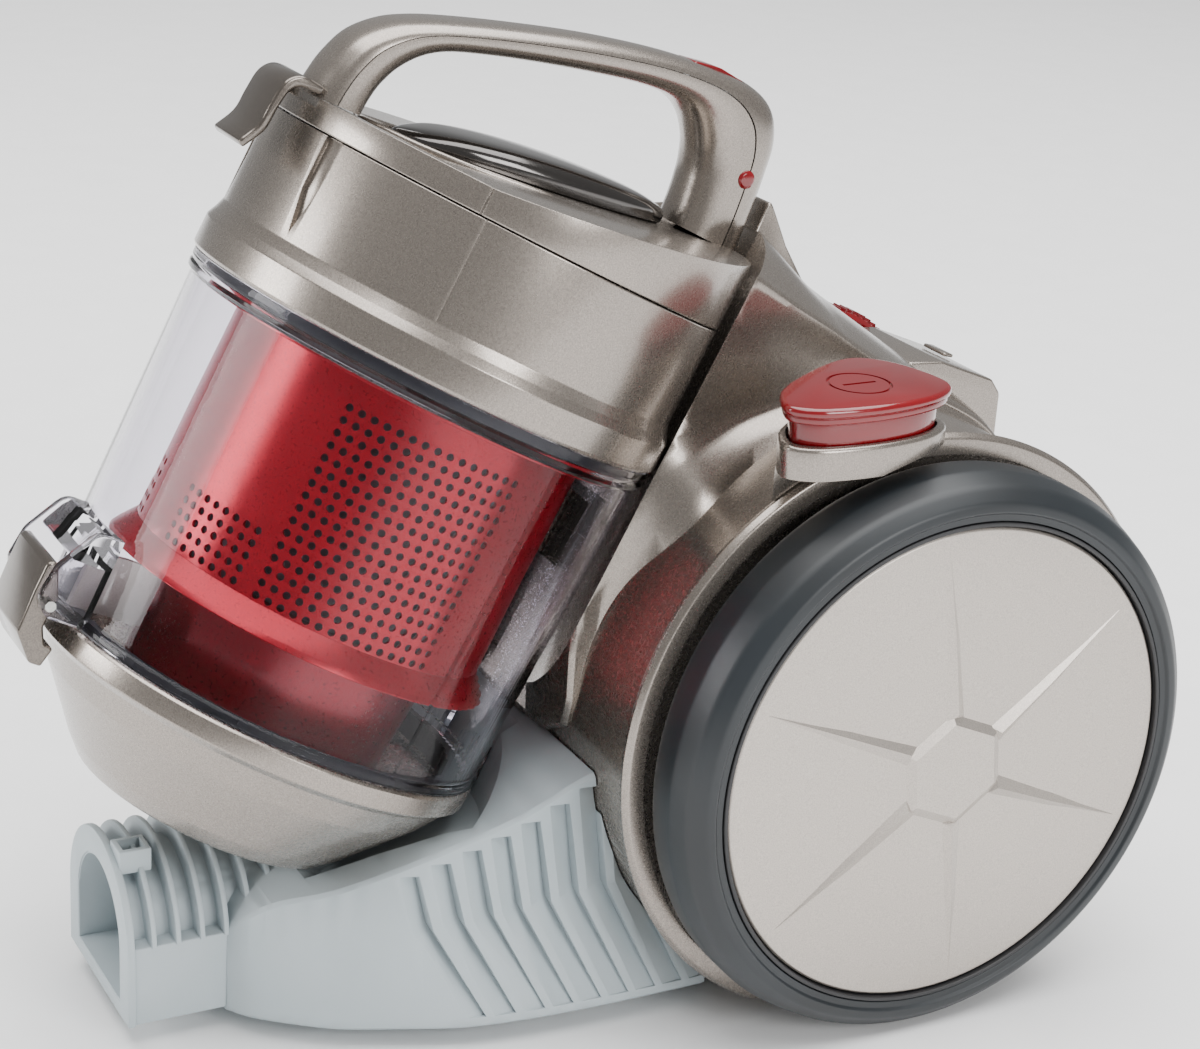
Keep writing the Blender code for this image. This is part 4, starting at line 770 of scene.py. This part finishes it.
# In mm: forward of the axle, half-width at the floor, half-width and height of the kink and of the ridge
BASE = (
    (212, 31, 30.5, 24, 30, 37), (207, 38, 37, 28, 36, 44), (199, 45, 43.5, 31, 42, 50),
    (184, 55.5, 53, 34, 51, 55.5),
    (166, 63, 60, 41, 57, 62.5), (145, 70.5, 65.5, 44, 61, 70), (124, 73.8, 66.5, 45.5, 62.5, 77),
    (103, 75.2, 67, 48, 63.5, 87), (84, 75.6, 67.5, 50, 64.5, 92), (60, 75.6, 68, 52, 65, 92),
)
DUCT_Z = 32 * MM
DUCT_R = 31 * MM
DUCT_HALF = 30 * MM
DUCT_TOP_OF_BLOCK = 36 * MM
RIB_PITCH = 8 * MM
ARCH_POINTS = 28


def base_at(forward):
    """The base's section numbers at a distance forward of the axle, in mm."""
    for (f1, *first), (f0, *second) in zip(BASE, BASE[1:]):
        if f1 >= forward >= f0:
            t = (f1 - forward) / (f1 - f0)
            return [a + (b - a) * t for a, b in zip(first, second)]
    return list(BASE[-1][1:])


def base_form():
    rings = []
    for forward, foot, kink, kink_z, ridge, ridge_z in spline(BASE, 40):
        half = [(foot - 2, 7.2), (foot, 9), (foot - 0.3, 12), (kink, kink_z), (ridge, ridge_z - 1.2),
            (ridge - 1.4, ridge_z), (ridge * 0.5, ridge_z)]
        ring = half + [(-x, z) for x, z in reversed(half)]
        rings.append([Vector((x * MM, AXLE.y - forward * MM, z * MM)) for x, z in ring])
    return loft("base_tray", rings)


def louvre(side, forward):
    """Cutter for one bent louvre: a wedge, shallow at its front edge and deep at its rear edge."""
    stations = ((forward, 3.2, "top"), (forward - 3.8, 5.0, "kink"), (forward - 20, 0.8, "low"))
    rings = []
    for front, depth, level in stations:
        rear = front - 7.2
        foot, kink, kink_z, ridge, ridge_z = base_at((front + rear) / 2)
        if level == "top":
            z = ridge_z - 3.5
            surface = ridge + (kink - ridge) * 3.5 / (ridge_z - kink_z)
        elif level == "kink":
            z, surface = kink_z, kink
        else:
            z, surface = 11.5, foot - 0.4
        points = ((95, front), (surface - 0.15, front), (surface - depth, rear), (95, rear))
        ring = [Vector((side * x * MM, AXLE.y - f * MM, z * MM)) for x, f in points]
        rings.append(ring)
    return loft("louvre", rings)


def arch(radius, foot):
    """A half circle on straight legs, as an (x, z) outline."""
    return [(radius, foot)] + arc(radius, 0, 180, ARCH_POINTS, (0, DUCT_Z)) + [(-radius, foot)]


def standing(outline, depth, name, place):
    """A plate of the given (x, z) outline, standing across the Y axis."""
    bm = bmesh.new()
    verts = [bm.verts.new((x, 0, z)) for x, z in outline]
    made = bmesh.ops.extrude_face_region(bm, geom=[bm.faces.new(verts)])
    bmesh.ops.translate(bm, verts=[v for v in made["geom"] if isinstance(v, bmesh.types.BMVert)],
        vec=(0, depth, 0))
    return mesh_object(name, bm, place)


def make_base(finishes):
    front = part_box("chassis_base")[0][1]
    floor = 8.6 * MM
    core = DUCT_R - 7 * MM
    base = base_form()
    combine(base, standing(arch(core, floor), 70 * MM, "duct",
        Matrix.Translation((0, front + 0.5 * MM, 0))), "UNION")
    side_block = block("duct_block", (-DUCT_HALF, front + 0.3 * MM, floor),
        (DUCT_HALF, front + 42 * MM, DUCT_TOP_OF_BLOCK), bevel=0.6 * MM)
    combine(base, side_block, "UNION")
    for side in (1, -1):
        for k in range(9):
            cut(base, louvre(side, 166 - 10 * k))
    cut(base, lift_space(0.6 * MM))
    cut(base, drum_space(DRUM_R + 0.5 * MM, 0.12))
    mouth = DUCT_R - 9.5 * MM
    soften(base, 0.7 * MM, 2, 34)
    cut(base, standing(arch(mouth, 14 * MM), 26 * MM, "mouth",
        Matrix.Translation((0, front - 5 * MM, 0))))
    across = Matrix.Translation((0, front, DUCT_Z)) @ Matrix.Rotation(-math.pi / 2, 4, "X")
    bore = cylinder("bore", 22.5 * MM, 12 * MM, 46 * MM, across, 96)
    cut(base, bore)
    rib = standing(arch(DUCT_R, floor) + list(reversed(arch(core - 0.8 * MM, floor))), 1.8 * MM, "rib",
        None)
    soften(rib, 0.5 * MM, 2)
    ribs = row_of("duct_ribs", rib, finishes["grey"], 8, (0, RIB_PITCH, 0), (0, front + RIB_PITCH, 0))
    cut(ribs, block("below_block", (-40 * MM, front - 5 * MM, 0),
        (40 * MM, front + 90 * MM, DUCT_TOP_OF_BLOCK - 0.4 * MM)))
    cut(ribs, lift_space(0.6 * MM))
    plate = standing(arch(DUCT_R, floor), 2.6 * MM, "mouth_plate", Matrix.Translation((0, front, 0)))
    cut(plate, standing(arch(mouth + 0.4 * MM, 13.6 * MM), 12 * MM, "mouth_hole",
        Matrix.Translation((0, front - 5 * MM, 0))))
    soften(plate, 0.5 * MM, 2, 40)
    low, high = (7 * MM, front + 2 * MM), (17 * MM, front + 12.5 * MM)
    pocket = block("catch_pocket", (low[0], low[1], 56 * MM), (high[0], high[1], 64 * MM), None, 0.5 * MM)
    cut(pocket, block("pocket_hole", (low[0] + 1.6 * MM, low[1] + 1.6 * MM, 58 * MM),
        (high[0] - 1.6 * MM, high[1] - 1.6 * MM, 70 * MM)))
    dress(merged("base_tray", [base, ribs, plate, pocket]), finishes["grey"], "body", "chassis_base")


def make_socket(finishes):
    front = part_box("chassis_base")[0][1]
    place = Matrix.Translation((0, front, DUCT_Z)) @ Matrix.Rotation(-math.pi / 2, 4, "X")
    sleeve = in_mm((18.5, 16), (22.2, 16), (22.2, 42), (17, 42), (16.5, 38), (18.5, 36))
    dress(turned("hose_sleeve", sleeve, place, 96), finishes["grey"], "body", "hose_socket")


# --- bin --------------------------------------------------------------------------


def make_clear_bin(finishes):
    wall = in_mm((72.5, 0.4), (76, 0.4, 0.8), (76, 3, 0.8), (75.1, 4, 0.6), (78.1, 110, 0.6),
        (79.6, 111, 0.6), (79.8, 112.6, 0.6), (79.2, 113.6, 0.4), (79.8, 114.6, 0.4),
        (79.8, 117, 0.4), (75.8, 117, 0.4))
    clear = turned("clear_dust_bin", wall, steps=FINE_STEPS)
    for side in (1, -1):
        outline = in_mm((-70, 1), (-86, 0.8, 5), (-90.5, 6, 5), (-89.5, 17, 7), (-82, 31, 6), (-70, 31))
        cheek = prism("cheek", outline, *sorted((side * 15 * MM, side * 18.4 * MM)), BIN, radius=2 * MM,
            bevel=0.8 * MM)
        combine(clear, cheek, "UNION")
    bridge = prism("bridge", in_mm((-70, 20), (-86.5, 20), (-82.5, 28), (-80, 31), (-70, 31)), -16 * MM,
        16 * MM, BIN, radius=1.5 * MM)
    combine(clear, bridge, "UNION")
    back, hinge_z = CAP_HINGE
    for side in (1, -1):
        low, high = sorted((side * 10.4 * MM, side * 15 * MM))
        ear = cylinder("ear", 4 * MM, low, high, BIN @ Matrix.Translation((0, back, hinge_z)), 32, True)
        combine(ear, block("web", (low, 74.5 * MM, hinge_z + 1 * MM), (high, back + 3.4 * MM, 8 * MM),
            BIN), "UNION")
        combine(clear, ear, "UNION")
    inside = turned("inside", in_mm((0, -20), (72.5, -20), (72.5, 0.3), (75.7, 117), (75.7, 140),
        (0, 140)), steps=FINE_STEPS, radius=0)
    cut(clear, inside)
    cut(clear, block("inlet", mm(-13, 60, 72), mm(13, 100, 96), BIN))
    dress(clear, finishes["clear"], "bin", "clear_bin")


def hole_tree(cell, finish):
    """Geometry Nodes: square cells, each with a round hole, laid on a cylinder in rows and columns."""
    tree, sockets, given = new_tree("perforated_panel", {
        "Columns": "Int", "Rows": "Int", "Pitch": "Float", "Radius": "Float", "First Angle": "Float",
        "First Height": "Float"})

    def calculate(operation, *inputs):
        links = {"i%d" % k: source for k, source in enumerate(inputs)}
        return node(tree, "ShaderNodeMath", {"operation": operation}, **links).outputs[0]

    total = calculate("MULTIPLY", given["Columns"], given["Rows"])
    points = node(tree, "GeometryNodePoints", {}, Count=total).outputs[0]
    index = node(tree, "GeometryNodeInputIndex").outputs[0]
    column = calculate("MODULO", index, given["Columns"])
    row = calculate("FLOOR", calculate("DIVIDE", index, given["Columns"]))
    step = calculate("DIVIDE", given["Pitch"], given["Radius"])
    angle = calculate("MULTIPLY_ADD", column, step, given["First Angle"])
    height = calculate("MULTIPLY_ADD", row, given["Pitch"], given["First Height"])
    turn = node(tree, "ShaderNodeCombineXYZ", {}, Z=angle).outputs[0]
    rise = node(tree, "ShaderNodeCombineXYZ", {}, Z=height).outputs[0]
    placed = node(tree, "GeometryNodeSetPosition", {}, Geometry=points, Position=rise)
    real = placed_copies(tree, cell, Points=placed.outputs[0], Rotation=turn)
    joined = node(tree, "GeometryNodeMergeByDistance", {"Distance": 0.00004},
        Geometry=real.outputs["Geometry"])
    coat(tree, joined.outputs["Geometry"], finish)
    return tree, sockets


def hole_cell():
    """One square of the perforated wall, facing -Y at the shroud's radius."""
    bm = bmesh.new()
    half = HOLE_PITCH / 2
    thick = 1.2 * MM
    sides = 12
    reach = half / SHROUD_R

    def ring(square, depth):
        out = []
        for k in range(sides):
            a = math.tau * (k + 0.5) / sides
            x, z = math.cos(a), math.sin(a)
            scale = half / max(abs(x), abs(z)) if square else HOLE_R
            x, z = x * scale, z * scale
            radius = SHROUD_R - depth
            turn = x / half * reach
            out.append(bm.verts.new((radius * math.sin(turn), -radius * math.cos(turn), z)))
        return out

    outer, hole, hole_back = ring(True, 0), ring(False, 0), ring(False, thick)
    for k in range(sides):
        j = (k + 1) % sides
        bm.faces.new((outer[k], outer[j], hole[j], hole[k]))
        bm.faces.new((hole[k], hole[j], hole_back[j], hole_back[k]))
    return mesh_object("hole_cell", bm)


# Angles in degrees round the shroud, then heights in mm
PANELS = ((45, 107, 33, 99), (-107, -45, 33, 99), (9, 43, 33.5, 54.5), (-43, -9, 33.5, 54.5))


def sector_cutter(start, end, low, high):
    inner, outer = 50 * MM, 70 * MM
    steps = 24
    outline = arc(outer, start - 90, end - 90, steps) + arc(inner, end - 90, start - 90, steps)
    return prism("window", outline, low, high, BIN, "Z")


def make_shroud(finishes):
    wall = in_mm((57.6, 33.2), (60, 33.2, 0), (60, 108.5), (71, 108.5), (71, 110.5), (57.6, 110.5))
    shroud = turned("cyclone_shroud_wall", wall, steps=FINE_STEPS, radius=0.3 * MM)
    panels = []
    for start, end, low, high in PANELS:
        columns = round(math.radians(end - start) * SHROUD_R / HOLE_PITCH)
        rows = round((high - low) * MM / HOLE_PITCH)
        first = math.radians((start + end) / 2) - (columns - 1) / 2 * HOLE_PITCH / SHROUD_R
        half_turn = math.degrees(HOLE_PITCH / SHROUD_R / 2)
        base = low * MM + 0.4 * MM
        cut(shroud, sector_cutter(math.degrees(first) - half_turn,
            math.degrees(first) + half_turn * (2 * columns - 1), base, base + rows * HOLE_PITCH))
        cell = hole_cell()
        tree, sockets = hole_tree(cell, finishes["red_flake"])
        panels.append(grown("holes", tree, sockets, BIN, Columns=columns, Rows=rows, Pitch=HOLE_PITCH,
            Radius=SHROUD_R, **{"First Angle": first, "First Height": base + HOLE_PITCH / 2}))
        bpy.data.objects.remove(cell, do_unlink=True)
    shroud = merged("cyclone_shroud_wall", [shroud, *panels])
    dress(shroud, finishes["red_flake"], "bin", "cyclone_shroud")
    # Painted light: a plain grey sheet just inside the perforated wall stands in for the dim light seen
    # through the holes.
    painted_light_sheet = turned("shroud_liner", in_mm((55.5, 34.5), (56.2, 34.5), (56.2, 106), (55.5, 106)),
        steps=96, radius=0)
    dress(painted_light_sheet, finishes["hole"], "bin")
    skirt = in_mm((48.3, 33.7), (58.5, 33.7), (60.2, 33.7, 0.4), (64.8, 27.5, 2), (66, 25.5, 0.4),
        (64.6, 25.5, 0.4), (58.6, 31), (48.3, 30.7))
    dress(turned("shroud_skirt_ring", skirt, steps=FINE_STEPS, radius=0.4 * MM), finishes["red_flake"],
        "bin", "shroud_skirt")
    cup = in_mm((46, 33.4), (48, 33.4), (44, -36.5, 4), (34, -40.5, 1), (0, -40.5), (0, -38.5),
        (33, -38.5), (42, -35.5))
    dress(turned("inner_dust_cup", cup), finishes["red_deep"], "bin", "dust_cup")
    gasket = in_mm((66, 113.6), (75, 113.6), (75.2, 116.8), (66, 116.8))
    dress(turned("bin_seal_ring", gasket), finishes["seal"], "bin", "bin_gasket")


def make_collar(finishes):
    wall = in_mm((22.5, 117.3), (80.2, 117.3, 0.6), (81, 118.3, 0.8), (81, 127.5, 1.2),
        (79.6, 130.5, 2.5), (78.4, 134, 2), (78.4, 166.7, 0.5), (74.5, 166.7, 0.3), (74.5, 120.8),
        (22.5, 120.8))
    collar = turned("filter_collar", wall, steps=FINE_STEPS)
    for turn in (19, -19):
        place = round_bin(turn)
        outline = in_mm((-3.2, 172), (-3.2, 150), (0, 136), (3.2, 150), (3.2, 172))
        groove = standing(outline, 4 * MM, "groove", place @ Matrix.Translation((0, -80.6 * MM, 0)))
        cut(collar, groove)
    for turn in (59.3, -59.3):
        place = round_bin(turn)
        cut(collar, block("part_line", mm(-0.3, -82, 134), mm(0.3, -78, 170), place))
    soften(collar, 0.35 * MM, 2, 40)
    dress(collar, finishes["bronze"], "bin", "collar")


def make_lid(finishes):
    wall = in_mm((70.5, 167.1), (78.5, 167.1, 0.6), (78.5, 215), (0, 215), (0, 171), (70.5, 171))
    lid = turned("bin_lid", wall, steps=FINE_STEPS)
    above = prism("above", in_mm((-95, 175), (-41, 175.6), (95, 194.4), (95, 260), (-95, 260)),
        -90 * MM, 90 * MM, BIN)
    cut(lid, above)
    cut(lid, block("clip_notch", mm(-11.8, -90, 172.4), mm(11.8, -75.4, 190), BIN))
    for turn in (57.5, -57.5):
        place = round_bin(turn)
        cut(lid, block("step", mm(-0.35, -82, 167), mm(0.35, -77.7, 200), place))
    soften(lid, 1.6 * MM, 4, 40)
    dress(lid, finishes["bronze"], "lid_assembly", "lid")
    pod = []
    for forward, width, low, high in spline(((46, 1.5, 174, 177.5), (40, 9, 174, 180.5),
        (28, 16, 175, 185), (8, 20, 177, 189.5), (-16, 20.5, 180, 193), (-38, 16, 184, 194.6),
        (-52, 8, 187, 193.6)), 24):
        half = [(width, low), (width, low * 0.4 + high * 0.6), (width * 0.9, high - 1.6),
            (width * 0.66, high - 0.5), (width * 0.3, high)]
        pod.append([Vector((x * MM, -forward * MM, z * MM)) for x,
            z in half + [(-x, z) for x, z in reversed(half)]])
    dress(loft("exhaust_pod", pod, BIN, subdivide=1), finishes["pod"], "lid_assembly", "pod_cover")
    trims = []
    for side in (1, -1):
        rings = []
        for x, y in ((0, -60), (side * 16, -50), (side * 27, -30), (side * 31, 0)):
            rise = 175.4 + max(0, (y + 41)) * 0.138
            rings.append([Vector(((x + dx) * MM, (y + dy) * MM, (rise + dz) * MM)) for dx, dy,
                dz in ((-0.9 * side, 0.6, -1), (-0.9 * side, 0.6, 1.3), (0.9 * side, -0.6, 1.3),
                (0.9 * side, -0.6, -1))])
        trims.append(loft("trim", rings, BIN, subdivide=2))
    dress(merged("lid_trim_ribs", trims), finishes["bronze"], "lid_assembly")


HANDLE = (  # outer then inner point: forward of the bin's axis and height above the seam, in mm
    (78.2, 175.2, 60.5, 176.2), (77.6, 181, 60.2, 181.5), (76.2, 188, 59, 187.5), (72.4, 197, 56, 194),
    (65, 204.6, 51, 200),
    (56, 210, 44.5, 204.4), (44, 215.2, 35, 208.2), (24, 222.6, 20, 213.2), (0, 230.6, -2, 219.6),
    (-24, 237, -22, 224.6), (-44, 240.6, -36, 226), (-60, 241.6, -44.4, 223), (-71, 238.4, -50.4, 216.8),
    (-77.4, 230, -53.6, 210), (-80, 219, -55.2, 204), (-82, 206, -56.3, 198), (-83.5, 190.9, -57, 190.9),
)
HANDLE_HALF = 12.4 * MM
HALF_POINTS = 16


def handle_half(upper):
    """Half of the grip's rounded section, above or below the seam."""
    power, seam = 2.7, 0.25 + (0.02 if upper else -0.02)
    width = (1 - abs(seam) ** power) ** (1 / power)
    start = math.atan2(seam, width)
    end = math.pi - start if upper else -math.pi - start
    points = []
    for i in range(HALF_POINTS):
        a = start + (end - start) * i / (HALF_POINTS - 1)
        c, s = math.cos(a), math.sin(a)
        reach = (abs(c) ** power + abs(s) ** power) ** (-1 / power)
        points.append((reach * c, reach * s))
    return points


def handle_shell(name, upper):
    rings = []
    for f0, z0, f1, z1 in spline(HANDLE, 90):
        top, bottom = Vector((0, -f0 * MM, z0 * MM)), Vector((0, -f1 * MM, z1 * MM))
        middle, up = (top + bottom) / 2, (top - bottom) / 2
        rings.append([middle + Vector((HANDLE_HALF * a, 0, 0)) + up * b for a, b in handle_half(upper)])
    return loft(name, rings, BIN)


def make_handle(finishes):
    grip = handle_shell("carrying_grip", False)
    cover = handle_shell("grip_cover", True)
    for shell in (grip, cover):
        cut(shell, block("button_slot", mm(-6.4, 35.6, 233.6), mm(6.4, 56.4, 260), BIN))
    dress(grip, finishes["bronze"], "lid_assembly", "handle_grip")
    dress(cover, finishes["bronze"], "lid_assembly", "handle_cover")
    button = prism("bin_release_button", in_mm((36.2, 237.6), (56, 239), (56, 241.3, 1), (46, 241.6, 8),
        (36.2, 239.4, 1)), -6 * MM, 6 * MM, BIN, radius=0.5 * MM, bevel=0.9 * MM)
    dress(button, finishes["red_gloss"], "button", "release_button")
    dots = []
    for side in (1, -1):
        dot = turned("dot", [(0, 0), (3.1 * MM, 0), (3.1 * MM, side * 0.6 * MM),
            (2.2 * MM, side * 1.1 * MM), (0, side * 1.4 * MM)],
            BIN @ Matrix.Translation((side * (HANDLE_HALF - 0.4 * MM), 70 * MM, 214 * MM)), 40, True)
        dots.append(dot)
    dress(merged("release_dot", dots), finishes["red_gloss"], "lid_assembly", "release_marker")


def make_lid_clip(finishes):
    """Strap clip bent from one plate, with a flared thumb tip."""
    outer = spline(((-77, 178.6), (-83, 179), (-87, 177.8), (-89.6, 174), (-90.4, 167), (-90.9, 160.5),
        (-94.4, 153.6)), 26)
    inner = spline(((-92.2, 152.2), (-88.2, 159.6), (-87.6, 167), (-86.8, 172.4), (-85, 175),
        (-82, 176), (-77, 175.9)), 26)
    outline = [(p[0] * MM, p[1] * MM) for p in outer + inner]
    strap = prism("lid_clip_strap", outline, -11 * MM, 11 * MM, BIN, bevel=0.8 * MM)
    dress(strap, finishes["bronze_dark"], "clip", "lid_latch")


def make_bin_foot(finishes):
    cap = in_mm((71, 0), (75.3, 0, 0.5), (76, -1, 0.6), (76, -7, 1), (73, -9.2, 1.5), (67.3, -18, 6),
        (58.8, -28, 8), (50, -38.5, 6), (44, -44.5, 5), (38, -45.5, 2),
        (0, -45.5), (0, -43), (41, -43), (55, -27), (71, -9))
    shell = turned("bottom_cap_shell", cap, steps=FINE_STEPS)
    back, hinge_z = CAP_HINGE
    knuckle = turned("knuckle", in_mm((0, -10), (4, -10), (4, 10), (0, 10)),
        BIN @ Matrix.Translation((0, back, hinge_z)), 40, True)
    combine(shell, knuckle, "UNION")
    for side in (1, -1):
        low, high = sorted((side * 10.1 * MM, side * 15.4 * MM))
        cut(shell, block("ear_room", (low, 73.9 * MM, -9.5 * MM), (high, 90 * MM, 3 * MM), BIN))
    dress(shell, finishes["bronze"], "cap", "bottom_cap")
    front, z = -86.5, 5
    outline = [(front + 3.4, z + 2, 1), (front + 1, z + 7, 2), (front - 1.5, z + 12.4, 2),
        (front - 4.6, z + 11.4, 2), (front - 4.6, z + 2, 2), (front - 3.8, z - 12, 2),
        (front + 4, z - 20, 2),
        (front + 8, z - 20, 1), (front + 9.3, z - 13.4, 1), (front + 6, z - 13, 2),
        (front + 3.2, z - 8, 2)]
    lever = prism("cap_latch_lever", in_mm(*outline), -14.4 * MM, 14.4 * MM, BIN, radius=1 * MM,
        bevel=1.2 * MM)
    dress(lever, finishes["bronze_dark"], "latch", "bottom_latch")


# --- caster and the pieces kept from the frame --------------------------------------


def make_caster(finishes):
    low, high = (Vector(c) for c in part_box("caster_wheel"))
    centre = (low + high) / 2
    r, half = (high.z - low.z) / 2, (high.x - low.x) / 2
    wheel = turned("caster_roller", [(2.1 * MM, -half), (r - 1.5 * MM, -half),
        (r, -half + 2 * MM, 2 * MM), (r, half - 2 * MM, 2 * MM), (r - 1.5 * MM, half), (2.1 * MM, half)],
        Matrix.Translation(centre), 96, True)
    dress(wheel, finishes["rubber"], "caster_roller", "caster_wheel")


KEPT = {
    "steel": "axle_right axle_left dial_spindle motor_can impeller rewind_spring latch_pin "
    "cap_hinge_pin caster_axle",
    "copper": "motor_rotor motor_stator",
    "foam": "exhaust_filter fine_filter",
    "seal": "motor_mount cap_gasket",
    "inner": "intake_duct fan_housing control_board cord_reel caster_fork caster_socket cyclone_cone",
    "grey": "bottom_plate",
    "silver": "dust_baffle",
}


def dress_kept(finishes):
    for finish, names in KEPT.items():
        for name in names.split():
            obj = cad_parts[name]
            obj.data.materials.clear()
            obj.data.materials.append(finishes[finish])


# --- stage ------------------------------------------------------------------------


def make_stage():
    paper, tree, shader = plain_shader("matt_backdrop_paper", Roughness=0.9)
    tone, _ = mottle(tree, 30, 0, 1)
    ramp = colour_mix(tree, tone.outputs["Fac"], "f4f4f4", "f7f7f7")
    tree.links.new(ramp.outputs["Color"], shader.inputs["Base Color"])
    bm = bmesh.new()
    bmesh.ops.create_grid(bm, x_segments=2, y_segments=2, size=6)
    floor = mesh_object("floor", bm)
    floor.data.materials.append(paper)
    world = bpy.data.worlds.new("soft_studio")
    bpy.context.scene.world = world
    world.use_nodes = True
    world.node_tree.nodes["Background"].inputs["Color"].default_value = (1, 1, 1, 1)
    world.node_tree.nodes["Background"].inputs["Strength"].default_value = 0.35
    panels = (  # where each soft light stands, its size and its power
        ((0, 0.2, 2.6), 3.2, 190), ((-0.6, -1.9, 0.8), 0.8, 24), ((1.9, 0.5, 0.9), 0.8, 24),
    )
    for place, size, power in panels:
        data = bpy.data.lights.new("soft_panel", "AREA")
        data.size = size
        data.energy = power
        lamp = bpy.data.objects.new("soft_panel", data)
        bpy.context.scene.collection.objects.link(lamp)
        lamp.location = place
        lamp.rotation_euler = (Vector((0, 0, 0.12)) - Vector(place)).to_track_quat("-Z", "Y").to_euler()


CAMERA_AZIMUTH = math.radians(61.06)
CAMERA_RISE = math.radians(20.84)
CAMERA_ROLL = math.radians(3.58)
CAMERA_FROM = Vector((0.71543, AXLE.y - 0.46449, 0.45784))
LENS = 77.52


def make_camera():
    back = Vector((math.sin(CAMERA_AZIMUTH) * math.cos(CAMERA_RISE),
        -math.cos(CAMERA_AZIMUTH) * math.cos(CAMERA_RISE), math.sin(CAMERA_RISE)))
    right = Vector((0, 0, 1)).cross(back).normalized()
    up = back.cross(right)
    turned_right = right * math.cos(CAMERA_ROLL) + up * math.sin(CAMERA_ROLL)
    turned_up = up * math.cos(CAMERA_ROLL) - right * math.sin(CAMERA_ROLL)
    data = bpy.data.cameras.new("camera")
    data.lens = LENS
    data.sensor_width = 36
    camera = bpy.data.objects.new("camera", data)
    bpy.context.scene.collection.objects.link(camera)
    turn = Matrix((turned_right, turned_up, back)).transposed().to_4x4()
    camera.matrix_world = Matrix.Translation(CAMERA_FROM) @ turn
    bpy.context.scene.camera = camera


finishes = make_materials()
make_camera()
make_stage()
for side, label in ((1, "right"), (-1, "left")):
    make_wheel(side, label, finishes)
make_upper_body(finishes)
make_side_walls(finishes)
make_lower_body(finishes)
make_grille(finishes)
make_post(finishes)
make_dial(finishes)
make_pedal(1, "power_pedal", "pedal_power", "pedal_collar_right", finishes)
make_pedal(-1, "rewind_pedal", "pedal_rewind", "pedal_collar_left", finishes)
make_base(finishes)
make_socket(finishes)
make_clear_bin(finishes)
make_shroud(finishes)
make_collar(finishes)
make_lid(finishes)
make_handle(finishes)
make_lid_clip(finishes)
make_bin_foot(finishes)
make_caster(finishes)
dress_kept(finishes)
